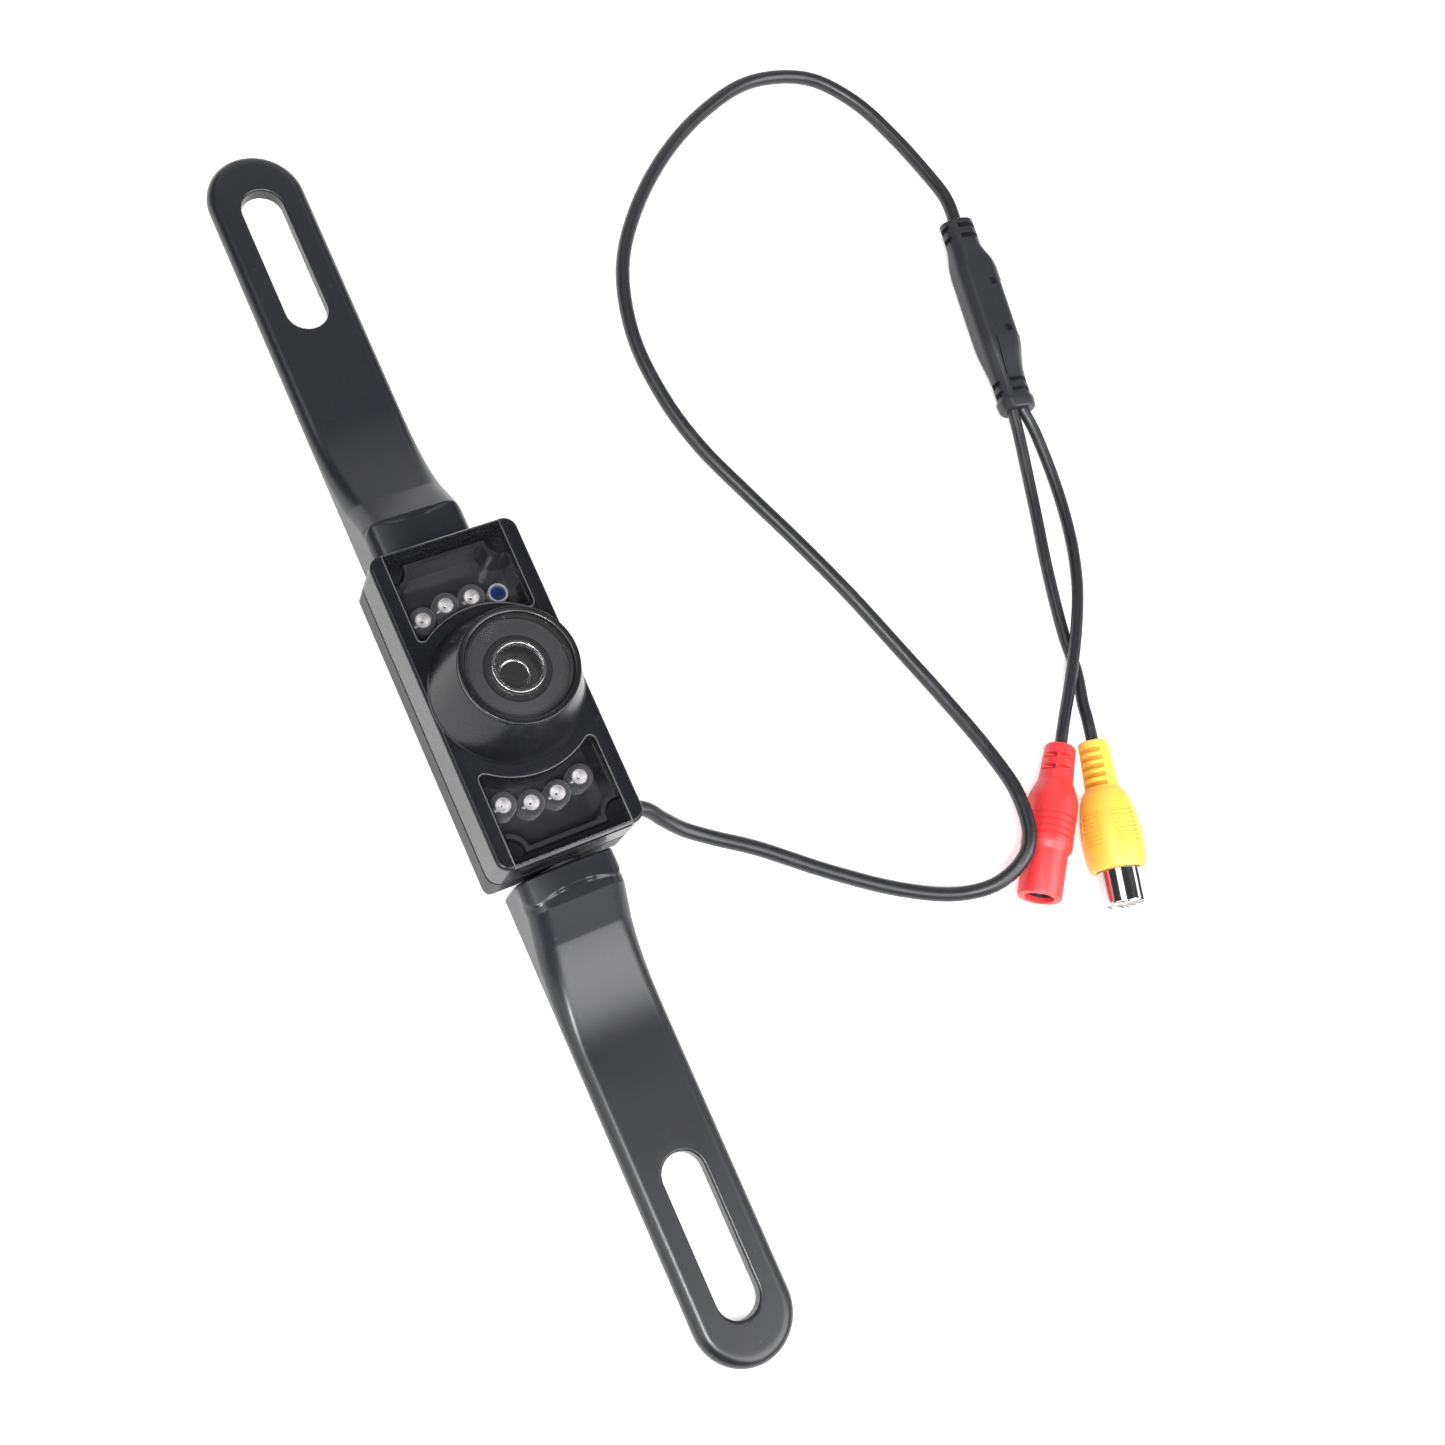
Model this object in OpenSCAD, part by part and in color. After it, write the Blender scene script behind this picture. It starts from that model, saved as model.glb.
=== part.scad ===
// Tilting vehicle backup camera on a two-slot mounting bar, with its cord, inline
// housing, power jack and video jack. +X runs along the bar, +Y is the cord side, +Z is
// the way the lens looks. The origin is the bottom centre of the bar. Millimetres.

/* [Mounting bar] */
// Distance between the centres of the bar's round ends
bar_end_spacing = 228.6; // [215:0.1:240]
// Width of the bar
bar_w = 19; // [17:0.1:22]
// Thickness of the flat part of the bar
bar_t = 3.1; // [2.8:0.1:3.4]
// Radius of the bar's long top edges
bar_edge_r = 2.2; // [1:0.1:2.4]
// Distance between the centres of the two slots
slot_spacing = 200.2; // [196:0.1:204]
// Width of a slot
slot_w = 8.2; // [6.5:0.1:9]
// Length of a slot from end to end
slot_l = 30.8; // [20:0.1:34]
// Height of the pivot ears
ear_h = 14; // [13:0.1:15]
// Radius of the ears' long top edges
ear_edge_r = 4.5; // [3:0.1:5]

/* [Camera head] */
// Length of the head, along the bar
head_l = 60.4; // [60:0.1:61]
// Width of the head
head_w = 28.2; // [28:0.1:29]
// Height of the head's back above the mounting surface
head_back_z = 3.1; // [3:0.1:4]
// Height of the head's front face
head_front_z = 23.1; // [23:0.1:24]
// Height of the joint between the rear and the front cover
parting_z = 12.2; // [12:0.1:12.6]
// Thickness of the housing gasket
gasket_t = 0.6; // [0.4:0.1:0.8]
// Thickness of the covers' walls
wall = 2; // [1.8:0.1:2.2]

/* [Pivot] */
// Height of the tilt axis
pivot_z = 8.5; // [8:0.1:9]
// Radius of a pivot screw
pivot_r = 1.5; // [1.2:0.1:1.8]
// Radial play of a pivot screw in the head
pivot_play = 0.05; // [0.02:0.01:0.1]
// Gap between an ear and the head
ear_gap = 1; // [0.8:0.1:1.2]

/* [Lens] */
// Radius of the hood where it meets the front face
hood_base_r = 14; // [13:0.1:14.1]
// Radius of the hood's top
hood_top_r = 10.6; // [10:0.1:11]
// Height of the hood's top
hood_top_z = 35; // [33:0.1:36]
// Radius of the cover glass
glass_r = 9.4; // [9:0.1:9.6]
// Radius of the lens barrel
barrel_r = 5.9; // [5.5:0.1:6]

/* [Infrared lights] */
// Radius of the circle on which the lights stand
light_circle_r = 19.6; // [19.4:0.1:20]
// Angle between neighbouring lights
light_pitch_deg = 14.8; // [14.6:0.1:15.5]
// Radius of one light
light_r = 2.42; // [2.2:0.01:2.45]
// Half the width of the windows
window_half_w = 11.4; // [11:0.1:11.6]
// Radius of the windows' inner arc
window_arc_r = 15.9; // [15:0.1:16.5]

/* [Cords and jacks] */
// Diameter of the cord and of both leads
main_cord_d = 2.9; // [2.6:0.1:3]
lead_d = 2.5; // [2.2:0.1:2.6]
// Length of the inline housing
inline_l = 45.4; // [44:0.1:47]
// Width of the inline housing
inline_w = 9; // [8:0.1:10]
// Length of the power jack
power_l = 32; // [31:0.1:33]
// Radius of the power jack's widest part
power_r = 5.1; // [4.8:0.1:5.3]
// Length of the video jack with its shell
video_l = 33.4; // [32:0.1:34]
// Radius of the video jack's shell
video_shell_r = 4.15; // [4:0.01:4.2]

/* [Hidden] */
lights = 7;
$fn = 64;

bore_cut = 1; // how far a cutting tool runs past the face it cuts
bar_half = bar_end_spacing / 2;
head_half_l = head_l / 2;
head_half_w = head_w / 2;
ear_x = head_half_l + ear_gap;
front_base_z = parting_z + gasket_t;

// ear outline seen from the side: a round ramp, a crease, then a steeper slope to the top
ramp_start_x = 63;
crease_x = 43.5;
crease_z = 8.6;
slope_end_x = 36.8;
ramp_r = (pow(ramp_start_x - crease_x, 2) + pow(crease_z - bar_t, 2)) / (2 * (crease_z - bar_t));

// spine that joins the two halves of the bar behind the head
spine_w = 10;
spine_t = 1.8;

pivot_hole_depth = 8;
pivot_head_r = 2.6;
pivot_head_t = 1.4;
end_wall_x = head_half_l - wall - 0.2;
washer_t = 0.7;

boss_x = 27.3;
boss_y = 10.7;
boss_r = 2.6;
screw_r = 1;
front_plate_t = 2.2;
front_plate_z = head_front_z - front_plate_t;
edge_r = 2.4;
back_edge_r = 4;

board_z = 6.2;
board_t = 1.6;
board_half_l = 23;
board_half_w = 10;
light_board_z = 9.8;
light_board_t = 1.2;
light_z = light_board_z + light_board_t;
light_h = 8.6;
tray_floor_z = 13.2;
tray_t = 0.9;

hood_hole_r = 9;
main_cord_r = main_cord_d / 2;
lead_r = lead_d / 2;
grommet_x = 25.5;
grommet_z = 8;
grommet_start_y = 12.4;
grommet_end_y = 15.8;

// ---------- shared shapes ----------

module rounded_rect(l, w, r) {
    square([l - 2 * r, w], center = true);
    square([l, w - 2 * r], center = true);
    for (x = [-1, 1], y = [-1, 1])
        translate([x * (l / 2 - r), y * (w / 2 - r)]) circle(r);
}

// cross-section of a bar with a flat bottom and round top edges
module bar_section(w, h, r) {
    intersection() {
        union() {
            translate([-w / 2, 0]) square([w, h - r]);
            translate([-w / 2 + r, 0]) square([w - 2 * r, h]);
            for (s = [-1, 1]) translate([s * (w / 2 - r), h - r]) circle(r);
        }
        translate([-w / 2, 0]) square([w, h]);
    }
}

// outline with square top corners and round bottom corners
module tub_section(w, z0, z1, r) {
    translate([-w / 2, z0 + r]) square([w, z1 - z0 - r]);
    translate([-w / 2 + r, z0]) square([w - 2 * r, z1 - z0]);
    for (s = [-1, 1]) translate([s * (w / 2 - r), z0 + r]) circle(r);
}

module along_x(length) {
    rotate([90, 0, 90]) linear_extrude(length) children();
}

module both_ends() {
    children();
    mirror([1, 0, 0]) children();
}

module at_corners(x, y) {
    for (sx = [-1, 1], sy = [-1, 1]) translate([sx * x, sy * y, 0]) children();
}

module ring(r_out, r_in, z0, z1) {
    translate([0, 0, z0]) difference() {
        cylinder(r = r_out, h = z1 - z0);
        translate([0, 0, -bore_cut]) cylinder(r = r_in, h = z1 - z0 + 2 * bore_cut);
    }
}

// ---------- mounting bar ----------

module slot_cut() {
    slot_r = slot_w / 2;
    reach = slot_l / 2 - slot_r;
    translate([slot_spacing / 2, 0, -bore_cut]) linear_extrude(bar_t + 2 * bore_cut) {
        square([2 * reach, slot_w], center = true);
        for (s = [-1, 1]) translate([s * reach, 0]) circle(slot_r);
    }
}

module bar_end() {
    translate([bar_half, 0, 0]) rotate([0, 0, -90]) rotate_extrude(angle = 180)
        intersection() {
            bar_section(bar_w, bar_t, bar_edge_r);
            square([bar_w, bar_t]);
        }
}

module ear_outline() {
    difference() {
        polygon([[ear_x, 0], [ramp_start_x, 0], [ramp_start_x, crease_z], [crease_x, crease_z],
                 [slope_end_x, ear_h], [ear_x, ear_h]]);
        intersection() {
            translate([ramp_start_x, bar_t + ramp_r]) circle(ramp_r, $fn = 200);
            translate([crease_x, 0]) square([ramp_start_x, ear_h]);
        }
    }
}

module ear() {
    intersection() {
        rotate([90, 0, 0]) linear_extrude(bar_w, center = true) ear_outline();
        translate([ear_x, 0, 0]) along_x(ramp_start_x - ear_x) bar_section(bar_w, ear_h, ear_edge_r);
    }
}

module mounting_bar() {
    color("#1d1e22") union() {
        both_ends() difference() {
            union() {
                translate([ear_x, 0, 0]) along_x(bar_half - ear_x)
                    bar_section(bar_w, bar_t, bar_edge_r);
                bar_end();
                ear();
            }
            slot_cut();
            translate([ear_x - bore_cut, 0, pivot_z]) rotate([0, 90, 0])
                cylinder(r = pivot_r, h = pivot_hole_depth + bore_cut);
        }
        translate([-ear_x, -spine_w / 2, 0]) cube([2 * ear_x, spine_w, spine_t]);
    }
}

module pivot_screws() {
    head_x = end_wall_x - 0.2;
    color("silver") both_ends() translate([0, 0, pivot_z]) rotate([0, 90, 0]) {
        translate([0, 0, head_x]) cylinder(r = pivot_r, h = ear_x + pivot_hole_depth - 0.2 - head_x);
        translate([0, 0, head_x - pivot_head_t]) cylinder(r = pivot_head_r, h = pivot_head_t);
    }
}

module friction_washers() {
    color("#30302e") both_ends() translate([ear_x - washer_t, 0, pivot_z]) rotate([0, 90, 0])
        ring(4.2, pivot_r + 0.1, 0, washer_t);
}

// ---------- housing ----------

module cavity(z0, z1, margin) {
    translate([0, 0, z0]) linear_extrude(z1 - z0)
        rounded_rect(head_l - 2 * margin, head_w - 2 * margin, 1.5);
}

module rear_shell_outline() {
    intersection() {
        translate([0, 0, head_back_z]) linear_extrude(parting_z - head_back_z)
            rounded_rect(head_l, head_w, edge_r);
        translate([-head_half_l, 0, 0]) along_x(head_l)
            tub_section(head_w, head_back_z, parting_z + 1, back_edge_r);
        rotate([90, 0, 0]) linear_extrude(head_w + 2, center = true)
            tub_section(head_l, head_back_z, parting_z + 1, edge_r);
    }
}

module rear_cover() {
    floor_z = head_back_z + wall;
    color("#26272b") difference() {
        union() {
            difference() {
                rear_shell_outline();
                cavity(floor_z, parting_z + bore_cut, wall + 0.2);
            }
            at_corners(boss_x, boss_y) translate([0, 0, floor_z - 0.5])
                cylinder(r = boss_r, h = parting_z - floor_z + 0.5);
            at_corners(18, 7.5) translate([0, 0, floor_z - 0.5])
                cylinder(r = 1.8, h = board_z - floor_z + 0.5);
        }
        at_corners(boss_x, boss_y) {
            translate([0, 0, head_back_z - bore_cut]) cylinder(r = 2, h = bore_cut + 1.6);
            translate([0, 0, head_back_z]) cylinder(r = screw_r + 0.15, h = parting_z);
        }
        at_corners(18, 7.5) translate([0, 0, head_back_z + 1]) cylinder(r = 0.6, h = board_z);
        both_ends() translate([end_wall_x - bore_cut, 0, pivot_z]) rotate([0, 90, 0])
            cylinder(r = pivot_r + pivot_play, h = 2 * wall + bore_cut);
        translate([grommet_x, head_half_w - wall + 0.1, grommet_z]) rotate([-90, 0, 0])
            cylinder(r = 2, h = 2 * wall);
    }
}

module window_plan(clearance) {
    right_edge = head_half_l + (clearance > 0 ? 0 : bore_cut);
    half_w = window_half_w - clearance;
    arc_r = window_arc_r + clearance;
    corner_r = 1.2;
    corner_x = sqrt(pow(arc_r + corner_r, 2) - pow(half_w - corner_r, 2));
    difference() {
        union() {
            translate([corner_x, -half_w]) square([right_edge - corner_x, 2 * half_w]);
            translate([corner_x - 3, -half_w + corner_r]) square([4, 2 * (half_w - corner_r)]);
            for (s = [-1, 1]) translate([corner_x, s * (half_w - corner_r)]) circle(corner_r);
        }
        circle(arc_r, $fn = 128);
    }
}

module front_cover() {
    chamfer = 0.7;
    color("#16171a") difference() {
        union() {
            difference() {
                union() {
                    translate([0, 0, front_base_z])
                        linear_extrude(head_front_z - chamfer - front_base_z)
                        rounded_rect(head_l, head_w, edge_r);
                    translate([0, 0, head_front_z - chamfer]) linear_extrude(chamfer)
                        rounded_rect(head_l - chamfer, head_w - chamfer, edge_r - chamfer / 2);
                }
                cavity(front_base_z - bore_cut, front_plate_z, wall);
            }
            at_corners(boss_x, boss_y) translate([0, 0, front_base_z])
                cylinder(r = boss_r, h = front_plate_z - front_base_z - 0.1);
        }
        both_ends() translate([0, 0, front_plate_z]) linear_extrude(front_plate_t + bore_cut)
            window_plan(0);
        translate([0, 0, front_plate_z - bore_cut])
            cylinder(r = hood_hole_r, h = front_plate_t + 2 * bore_cut);
        at_corners(boss_x, boss_y) translate([0, 0, front_base_z - bore_cut])
            cylinder(r = screw_r, h = 7);
    }
}

module housing_gasket() {
    inset = 0.5;
    color("#0e0e10") translate([0, 0, parting_z]) linear_extrude(gasket_t) difference() {
        rounded_rect(head_l - 2 * inset, head_w - 2 * inset, edge_r - inset);
        rounded_rect(head_l - 2 * wall, head_w - 2 * wall, 1.5);
        for (sx = [-1, 1], sy = [-1, 1]) translate([sx * boss_x, sy * boss_y]) circle(boss_r + 0.1);
    }
}

module case_screws() {
    screw_top_z = front_base_z + 5.4;
    color("silver") at_corners(boss_x, boss_y) {
        translate([0, 0, head_back_z + 0.2]) cylinder(r = 1.85, h = 1.4);
        translate([0, 0, head_back_z + 1]) cylinder(r = screw_r, h = screw_top_z - head_back_z - 1);
    }
}

module window() {
    color([0.75, 0.8, 0.85, 0.35]) translate([0, 0, front_plate_z])
        linear_extrude(front_plate_t) window_plan(0.05);
}

module left_window() {
    mirror([1, 0, 0]) window();
}

module right_window() {
    window();
}

// ---------- infrared lights ----------

// place k (0 to 3) on the +X side for side = 1, or on the -X side for side = -1
module at_light(side, k) {
    bearing = (k - 1.5) * light_pitch_deg;
    translate([side * light_circle_r * cos(bearing), light_circle_r * sin(bearing), light_z])
        children();
}

module tray_plan(margin) {
    difference() {
        translate([9 + margin, -11.6 + margin]) square([18.8 - 2 * margin, 23.2 - 2 * margin]);
        for (s = [-1, 1]) translate([boss_x, s * boss_y]) circle(boss_r + 0.3 + margin);
        circle(window_arc_r - 0.9 + margin, $fn = 128);
    }
}

module tray(side) {
    color("#24252a") difference() {
        scale_side(side) translate([0, 0, tray_floor_z]) linear_extrude(front_plate_z - tray_floor_z)
            tray_plan(0);
        scale_side(side) translate([0, 0, tray_floor_z + tray_t]) linear_extrude(front_plate_z)
            tray_plan(0.8);
        for (k = [0:3]) at_light(side, k) cylinder(r = light_r + 0.06, h = light_h);
    }
}

module scale_side(side) {
    if (side > 0) children();
    else mirror([1, 0, 0]) children();
}

module left_tray() {
    tray(-1);
}

module right_tray() {
    tray(1);
}

module light_board(side) {
    color("#14401f") difference() {
        scale_side(side) translate([16, -11, light_board_z]) cube([7.4, 22, light_board_t]);
        for (k = [0:3], lead = [-1, 1]) at_light(side, k) translate([0, lead * 1.27, -3])
            cylinder(r = 0.4, h = 6);
    }
}

module left_light_board() {
    light_board(-1);
}

module right_light_board() {
    light_board(1);
}

module light_leads() {
    for (lead = [-1, 1]) translate([-0.22, lead * 1.27 - 0.22, -2]) cube([0.44, 0.44, 2.5]);
}

// lights 1 to 4 stand on the +X side, 5 to 7 on the -X side
module ir_led(number) {
    side = number <= 4 ? 1 : -1;
    k = (number - 1) % 4;
    dome_z = light_h - light_r;
    color("#c9cbd0") at_light(side, k) {
        cylinder(r = light_r, h = dome_z);
        translate([0, 0, dome_z]) intersection() {
            sphere(light_r);
            cylinder(r = light_r, h = light_r);
        }
        light_leads();
    }
}

module light_sensor() {
    color("#2b3c63") at_light(-1, 3) {
        cylinder(r = light_r, h = 7.6);
        light_leads();
    }
}

// ---------- boards and lens ----------

module main_board() {
    color("#14401f") difference() {
        translate([-board_half_l, -board_half_w, board_z])
            cube([2 * board_half_l, 2 * board_half_w, board_t]);
        at_corners(18, 7.5) translate([0, 0, board_z - bore_cut])
            cylinder(r = 0.8, h = board_t + 2 * bore_cut);
    }
}

module board_screws() {
    color("silver") at_corners(18, 7.5) {
        translate([0, 0, board_z + board_t]) cylinder(r = 1.3, h = 0.9);
        translate([0, 0, head_back_z + 1.4]) cylinder(r = 0.6, h = board_z + board_t - head_back_z - 1.4);
    }
}

module board_connector() {
    color("ivory") translate([8.2, -3, board_z + board_t]) difference() {
        cube([5, 6, 1.8]);
        translate([1, 0.8, 0.6]) cube([5, 4.4, 2]);
    }
}

module image_sensor() {
    color("#1b2733") translate([-4, -4, board_z + board_t]) cube([8, 8, 0.9]);
}

module lens_holder() {
    base_z = board_z + board_t;
    color("#101113") difference() {
        union() {
            translate([-7, -7, base_z]) cube([14, 14, 3.4]);
            translate([0, 0, base_z]) cylinder(r = 7, h = 15);
        }
        translate([-4.4, -4.4, base_z - bore_cut]) cube([8.8, 8.8, bore_cut + 1.2]);
        translate([0, 0, base_z]) cylinder(r = 3, h = 5);
        translate([0, 0, base_z + 2.4]) cylinder(r = 4.1, h = 1);
        translate([0, 0, base_z + 3.2]) cylinder(r = barrel_r + 0.02, h = 15);
    }
}

module ir_cut_filter() {
    color([0.5, 0.75, 0.8, 0.5]) translate([0, 0, board_z + board_t + 2.4]) cylinder(r = 4.05, h = 0.6);
}

barrel_z = 11.2;
barrel_top_z = 34.1;

module lens_barrel() {
    color("#141517") difference() {
        union() {
            translate([0, 0, barrel_z]) cylinder(r = barrel_r, h = barrel_top_z - barrel_z);
            translate([0, 0, 24.5]) cylinder(r = 6.6, h = 2);
        }
        translate([0, 0, barrel_z - bore_cut]) cylinder(r = 2.4, h = 20);
        translate([0, 0, 27.6]) cylinder(r = 3.3, h = 10);
        translate([0, 0, 30.1]) cylinder(r = 4.75, h = 10);
    }
}

module iris_disc() {
    color("#4a2620") ring(3.25, 1, 27.6, 27.9);
}

module rear_lens() {
    curve_r = 6.5;
    color([0.8, 0.85, 0.9, 0.4]) intersection() {
        translate([0, 0, 27.9]) cylinder(r = 3.2, h = 2);
        translate([0, 0, 29.7 - curve_r]) sphere(curve_r, $fn = 96);
    }
}

module inner_ring() {
    color("#b9bcc2") ring(4.7, 2.3, 30.1, 30.5);
}

module front_lens() {
    curve_r = 10;
    color([0.8, 0.85, 0.9, 0.4]) intersection() {
        translate([0, 0, 30.5]) cylinder(r = 4.65, h = 3);
        translate([0, 0, 32.6 - curve_r]) sphere(curve_r, $fn = 128);
    }
}

module front_ring() {
    color("#c9ccd2") translate([0, 0, barrel_top_z]) rotate_extrude()
        polygon([[3.9, 0], [4.9, 0], [4.9, 0.5], [4.6, 0.85], [4.2, 0.85], [3.9, 0.5]]);
}

module lens_hood() {
    inner_base_r = hood_base_r - 2.2;
    color("#1a1b1f") rotate_extrude() polygon([
        [hood_hole_r - 1.2, front_plate_z + 0.2], [hood_hole_r - 0.05, front_plate_z + 0.2],
        [hood_hole_r - 0.05, head_front_z], [hood_base_r, head_front_z],
        [hood_base_r, head_front_z + 0.5], [hood_base_r - 0.3, head_front_z + 0.9],
        [hood_top_r, hood_top_z], [hood_top_r - 1.1, hood_top_z], [hood_top_r - 1.1, 32.6],
        [inner_base_r - 1.8, head_front_z + 1.5], [hood_hole_r - 1.2, head_front_z + 1]]);
}

module lens_baffle() {
    // shallow black cone with three steps, between the hood and the barrel
    step_h = 0.45;
    inner_r = 6;
    step_w = (glass_r - inner_r) / 4;
    color("#0f1012") difference() {
        translate([0, 0, 31]) cylinder(r = glass_r, h = 3);
        for (k = [0:3]) translate([0, 0, 34 - (k + 1) * step_h])
            cylinder(r = glass_r - 0.3 - k * step_w, h = 3);
        translate([0, 0, 30]) cylinder(r = inner_r, h = 6);
    }
}

module glass_seal() {
    color("#08080a") ring(glass_r, glass_r - 0.6, 34, 35.05);
}

module cover_glass() {
    curve_r = 60;
    color([0.8, 0.85, 0.9, 0.3]) intersection() {
        translate([0, 0, 35.05]) cylinder(r = glass_r, h = 3, $fn = 96);
        translate([0, 0, 36.2 - curve_r]) sphere(curve_r, $fn = 400);
    }
}

module lens_bezel() {
    color("#0c0d0f") rotate_extrude() polygon([
        [glass_r + 0.05, hood_top_z], [hood_top_r, hood_top_z], [hood_top_r, 35.6],
        [hood_top_r - 0.3, 36], [glass_r + 0.35, 36], [glass_r + 0.05, 35.8]]);
}

// ---------- cord ----------

module cable_grommet() {
    color("#101012") translate([grommet_x, 0, grommet_z]) rotate([-90, 0, 0]) difference() {
        union() {
            translate([0, 0, grommet_start_y]) cylinder(r = 2, h = 3);
            translate([0, 0, head_half_w]) cylinder(r = 2.6, h = 0.7);
            translate([0, 0, head_half_w]) cylinder(r = 2.1, h = grommet_end_y - head_half_w);
        }
        translate([0, 0, 10]) cylinder(r = main_cord_r, h = 8);
    }
}

module cable_tail() {
    color("#17181b") translate([grommet_x, grommet_start_y, grommet_z]) rotate([-90, 0, 0])
        cylinder(r = main_cord_r, h = grommet_end_y - grommet_start_y);
}

// points along the main cord, from the grommet to the inline housing
main_route = [
    [25.5, 15.95, 8], [25.6, 18, 7.85], [26.7, 20.4, 6.7], [28.9, 23, 4.6], [31.8, 26.6, 2.6],
    [35.3, 31.7, 1.65], [40.5, 39.3, 1.5], [49.6, 50.4, 1.5], [57.8, 61.8, 1.8], [63.2, 72, 3.2],
    [64.4, 80.4, 6.2], [60.4, 87.5, 8.9], [51, 90.7, 8], [40, 90.8, 4.8], [27, 88.4, 2.4],
    [14.2, 84.6, 1.6], [0, 79.8, 1.5], [-13.2, 74.6, 1.5], [-26.2, 69, 1.5], [-39, 63.8, 1.5],
    [-51.6, 61, 1.5], [-66, 60.8, 1.5], [-80.5, 65, 1.5], [-92.4, 73.4, 1.5],
    [-103.2, 85.4, 1.5], [-111, 98.8, 1.5], [-115, 112, 1.5], [-112.8, 125, 1.5],
    [-104.8, 133.4, 1.5], [-94, 138.4, 1.7], [-82, 141.4, 2.7], [-75.4, 141.9, 3.7],
    [-69.5, 141, 4]];

// points along the two leads, from the inline housing to the jacks
video_route = [
    [-24.7, 132.3, 4], [-19, 131.5, 2.9], [-7, 129, 1.3], [9.7, 124, 1.3],
    [22.6, 120.8, 1.3], [31.4, 119, 2], [38.4, 115.2, 4.8], [41.7, 113.8, 5.9], [46.5, 112.3, 6.2]];
power_route = [
    [-24.3, 134.8, 4], [-18.5, 135.6, 3], [-7.4, 135.4, 1.4], [3.9, 132.9, 1.5], [14, 128.4, 2.8],
    [22.6, 122.9, 3.9], [31.6, 116.4, 4.3], [40, 109.4, 5.1], [44.8, 105.8, 5.1]];

// point at t (0 to 1) between p[i] and p[i + 1] on a smooth curve through all the points
function curve_point(p, i, t) =
    let (last = len(p) - 1, a = p[max(i - 1, 0)], b = p[i], c = p[min(i + 1, last)], d = p[min(i + 2, last)])
    b + 0.5 * t * (c - a + t * (2 * a - 5 * b + 4 * c - d + t * (3 * (b - c) + d - a)));

// the curve's points, with the given number of steps between two route points
function smooth_route(p, steps) =
    concat([for (i = [0:len(p) - 2], k = [0:steps - 1]) curve_point(p, i, k / steps)],
           [p[len(p) - 1]]);

tube_sides = 8;

function unit(v) = v / norm(v);

// direction of the route at point i
function heading(p, i) =
    unit(p[min(i + 1, len(p) - 1)] - p[max(i - 1, 0)]);

// one ring of the tube, square to the heading, with a flat side down
function tube_ring(p, i, r) =
    let (ahead = heading(p, i), side = unit(cross(ahead, [0, 0, 1])), up = cross(side, ahead))
    [for (k = [0:tube_sides - 1])
        let (a = 360 * (k + 0.5) / tube_sides)
        p[i] + r * (cos(a) * side + sin(a) * up)];

module tube(route, r, steps) {
    p = smooth_route(route, steps);
    rings = len(p);
    points = [for (i = [0:rings - 1]) each tube_ring(p, i, r)];
    sides = [for (i = [0:rings - 2], k = [0:tube_sides - 1])
        let (a = i * tube_sides + k, b = i * tube_sides + (k + 1) % tube_sides)
        [a, b, b + tube_sides, a + tube_sides]];
    first_cap = [for (k = [tube_sides - 1:-1:0]) k];
    last_cap = [for (k = [0:tube_sides - 1]) (rings - 1) * tube_sides + k];
    polyhedron(points, concat([first_cap], sides, [last_cap]), convexity = 10);
}

module main_cable() {
    color("#17181b") tube(main_route, main_cord_r, 2);
}

module video_lead() {
    color("#17181b") tube(video_route, lead_r, 1);
}

module power_lead() {
    color("#17181b") tube(power_route, lead_r, 1);
}

// ---------- inline housing ----------

inline_start = [-69.4, 141, 4];
inline_turn = -9.4;

module at_inline() {
    translate(inline_start) rotate([0, 0, inline_turn]) children();
}

module inline_plan() {
    boot_half = 3.8;
    half = inline_w / 2;
    polygon([[0, -boot_half], [6, -boot_half], [8.5, -half + 0.5], [12.5, -half],
             [29, -half], [34, -half + 0.6], [38.4, -boot_half], [42.6, -boot_half],
             [43.2, -4], [inline_l, -3.8],
             [inline_l, 3.8], [43.2, 4], [42.6, boot_half], [38.4, boot_half],
             [34, half - 0.6], [29, half], [12.5, half], [8.5, half - 0.5],
             [6, boot_half], [0, boot_half]]);
}

// cross-section with bevelled edges
module inline_section() {
    half = inline_w / 2;
    bevel = 1.8;
    h = 3.8;
    polygon([[-half, -h + bevel], [-half + bevel, -h], [half - bevel, -h], [half, -h + bevel],
             [half, h - bevel], [half - bevel, h], [-half + bevel, h], [-half, h - bevel]]);
}

module inline_housing() {
    groove_w = 0.9;
    color("#1b1c20") at_inline() difference() {
        intersection() {
            translate([0, 0, -4]) linear_extrude(8) inline_plan();
            along_x(inline_l) inline_section();
        }
        for (x = [1.6, 4, 38.8, 41], s = [-1, 1], u = [-1, 1])
            translate([x, s * 3.2 - 1, u * 2.6 - 1]) cube([groove_w, 2, 2]);
        translate([13, -2.6, -1.4]) cube([16, 5.2, 2.8]);
        translate([14.5, inline_w / 2 - 0.6, -1]) cube([14, 2, 2]);
    }
}

module filter_board() {
    color("#14401f") at_inline() {
        translate([13.4, -2.4, -0.8]) cube([15.2, 4.8, 0.8]);
        translate([16, -1.2, 0]) cube([4, 2.4, 1.2]);
        translate([22, -1, 0]) cube([3, 2, 1]);
    }
}

// ---------- power jack ----------

power_start = [44.8, 105.8, 5.1];
power_turn = -37;

module at_power() {
    translate(power_start) rotate([0, 0, power_turn]) rotate([0, 90, 0]) children();
}

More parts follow.
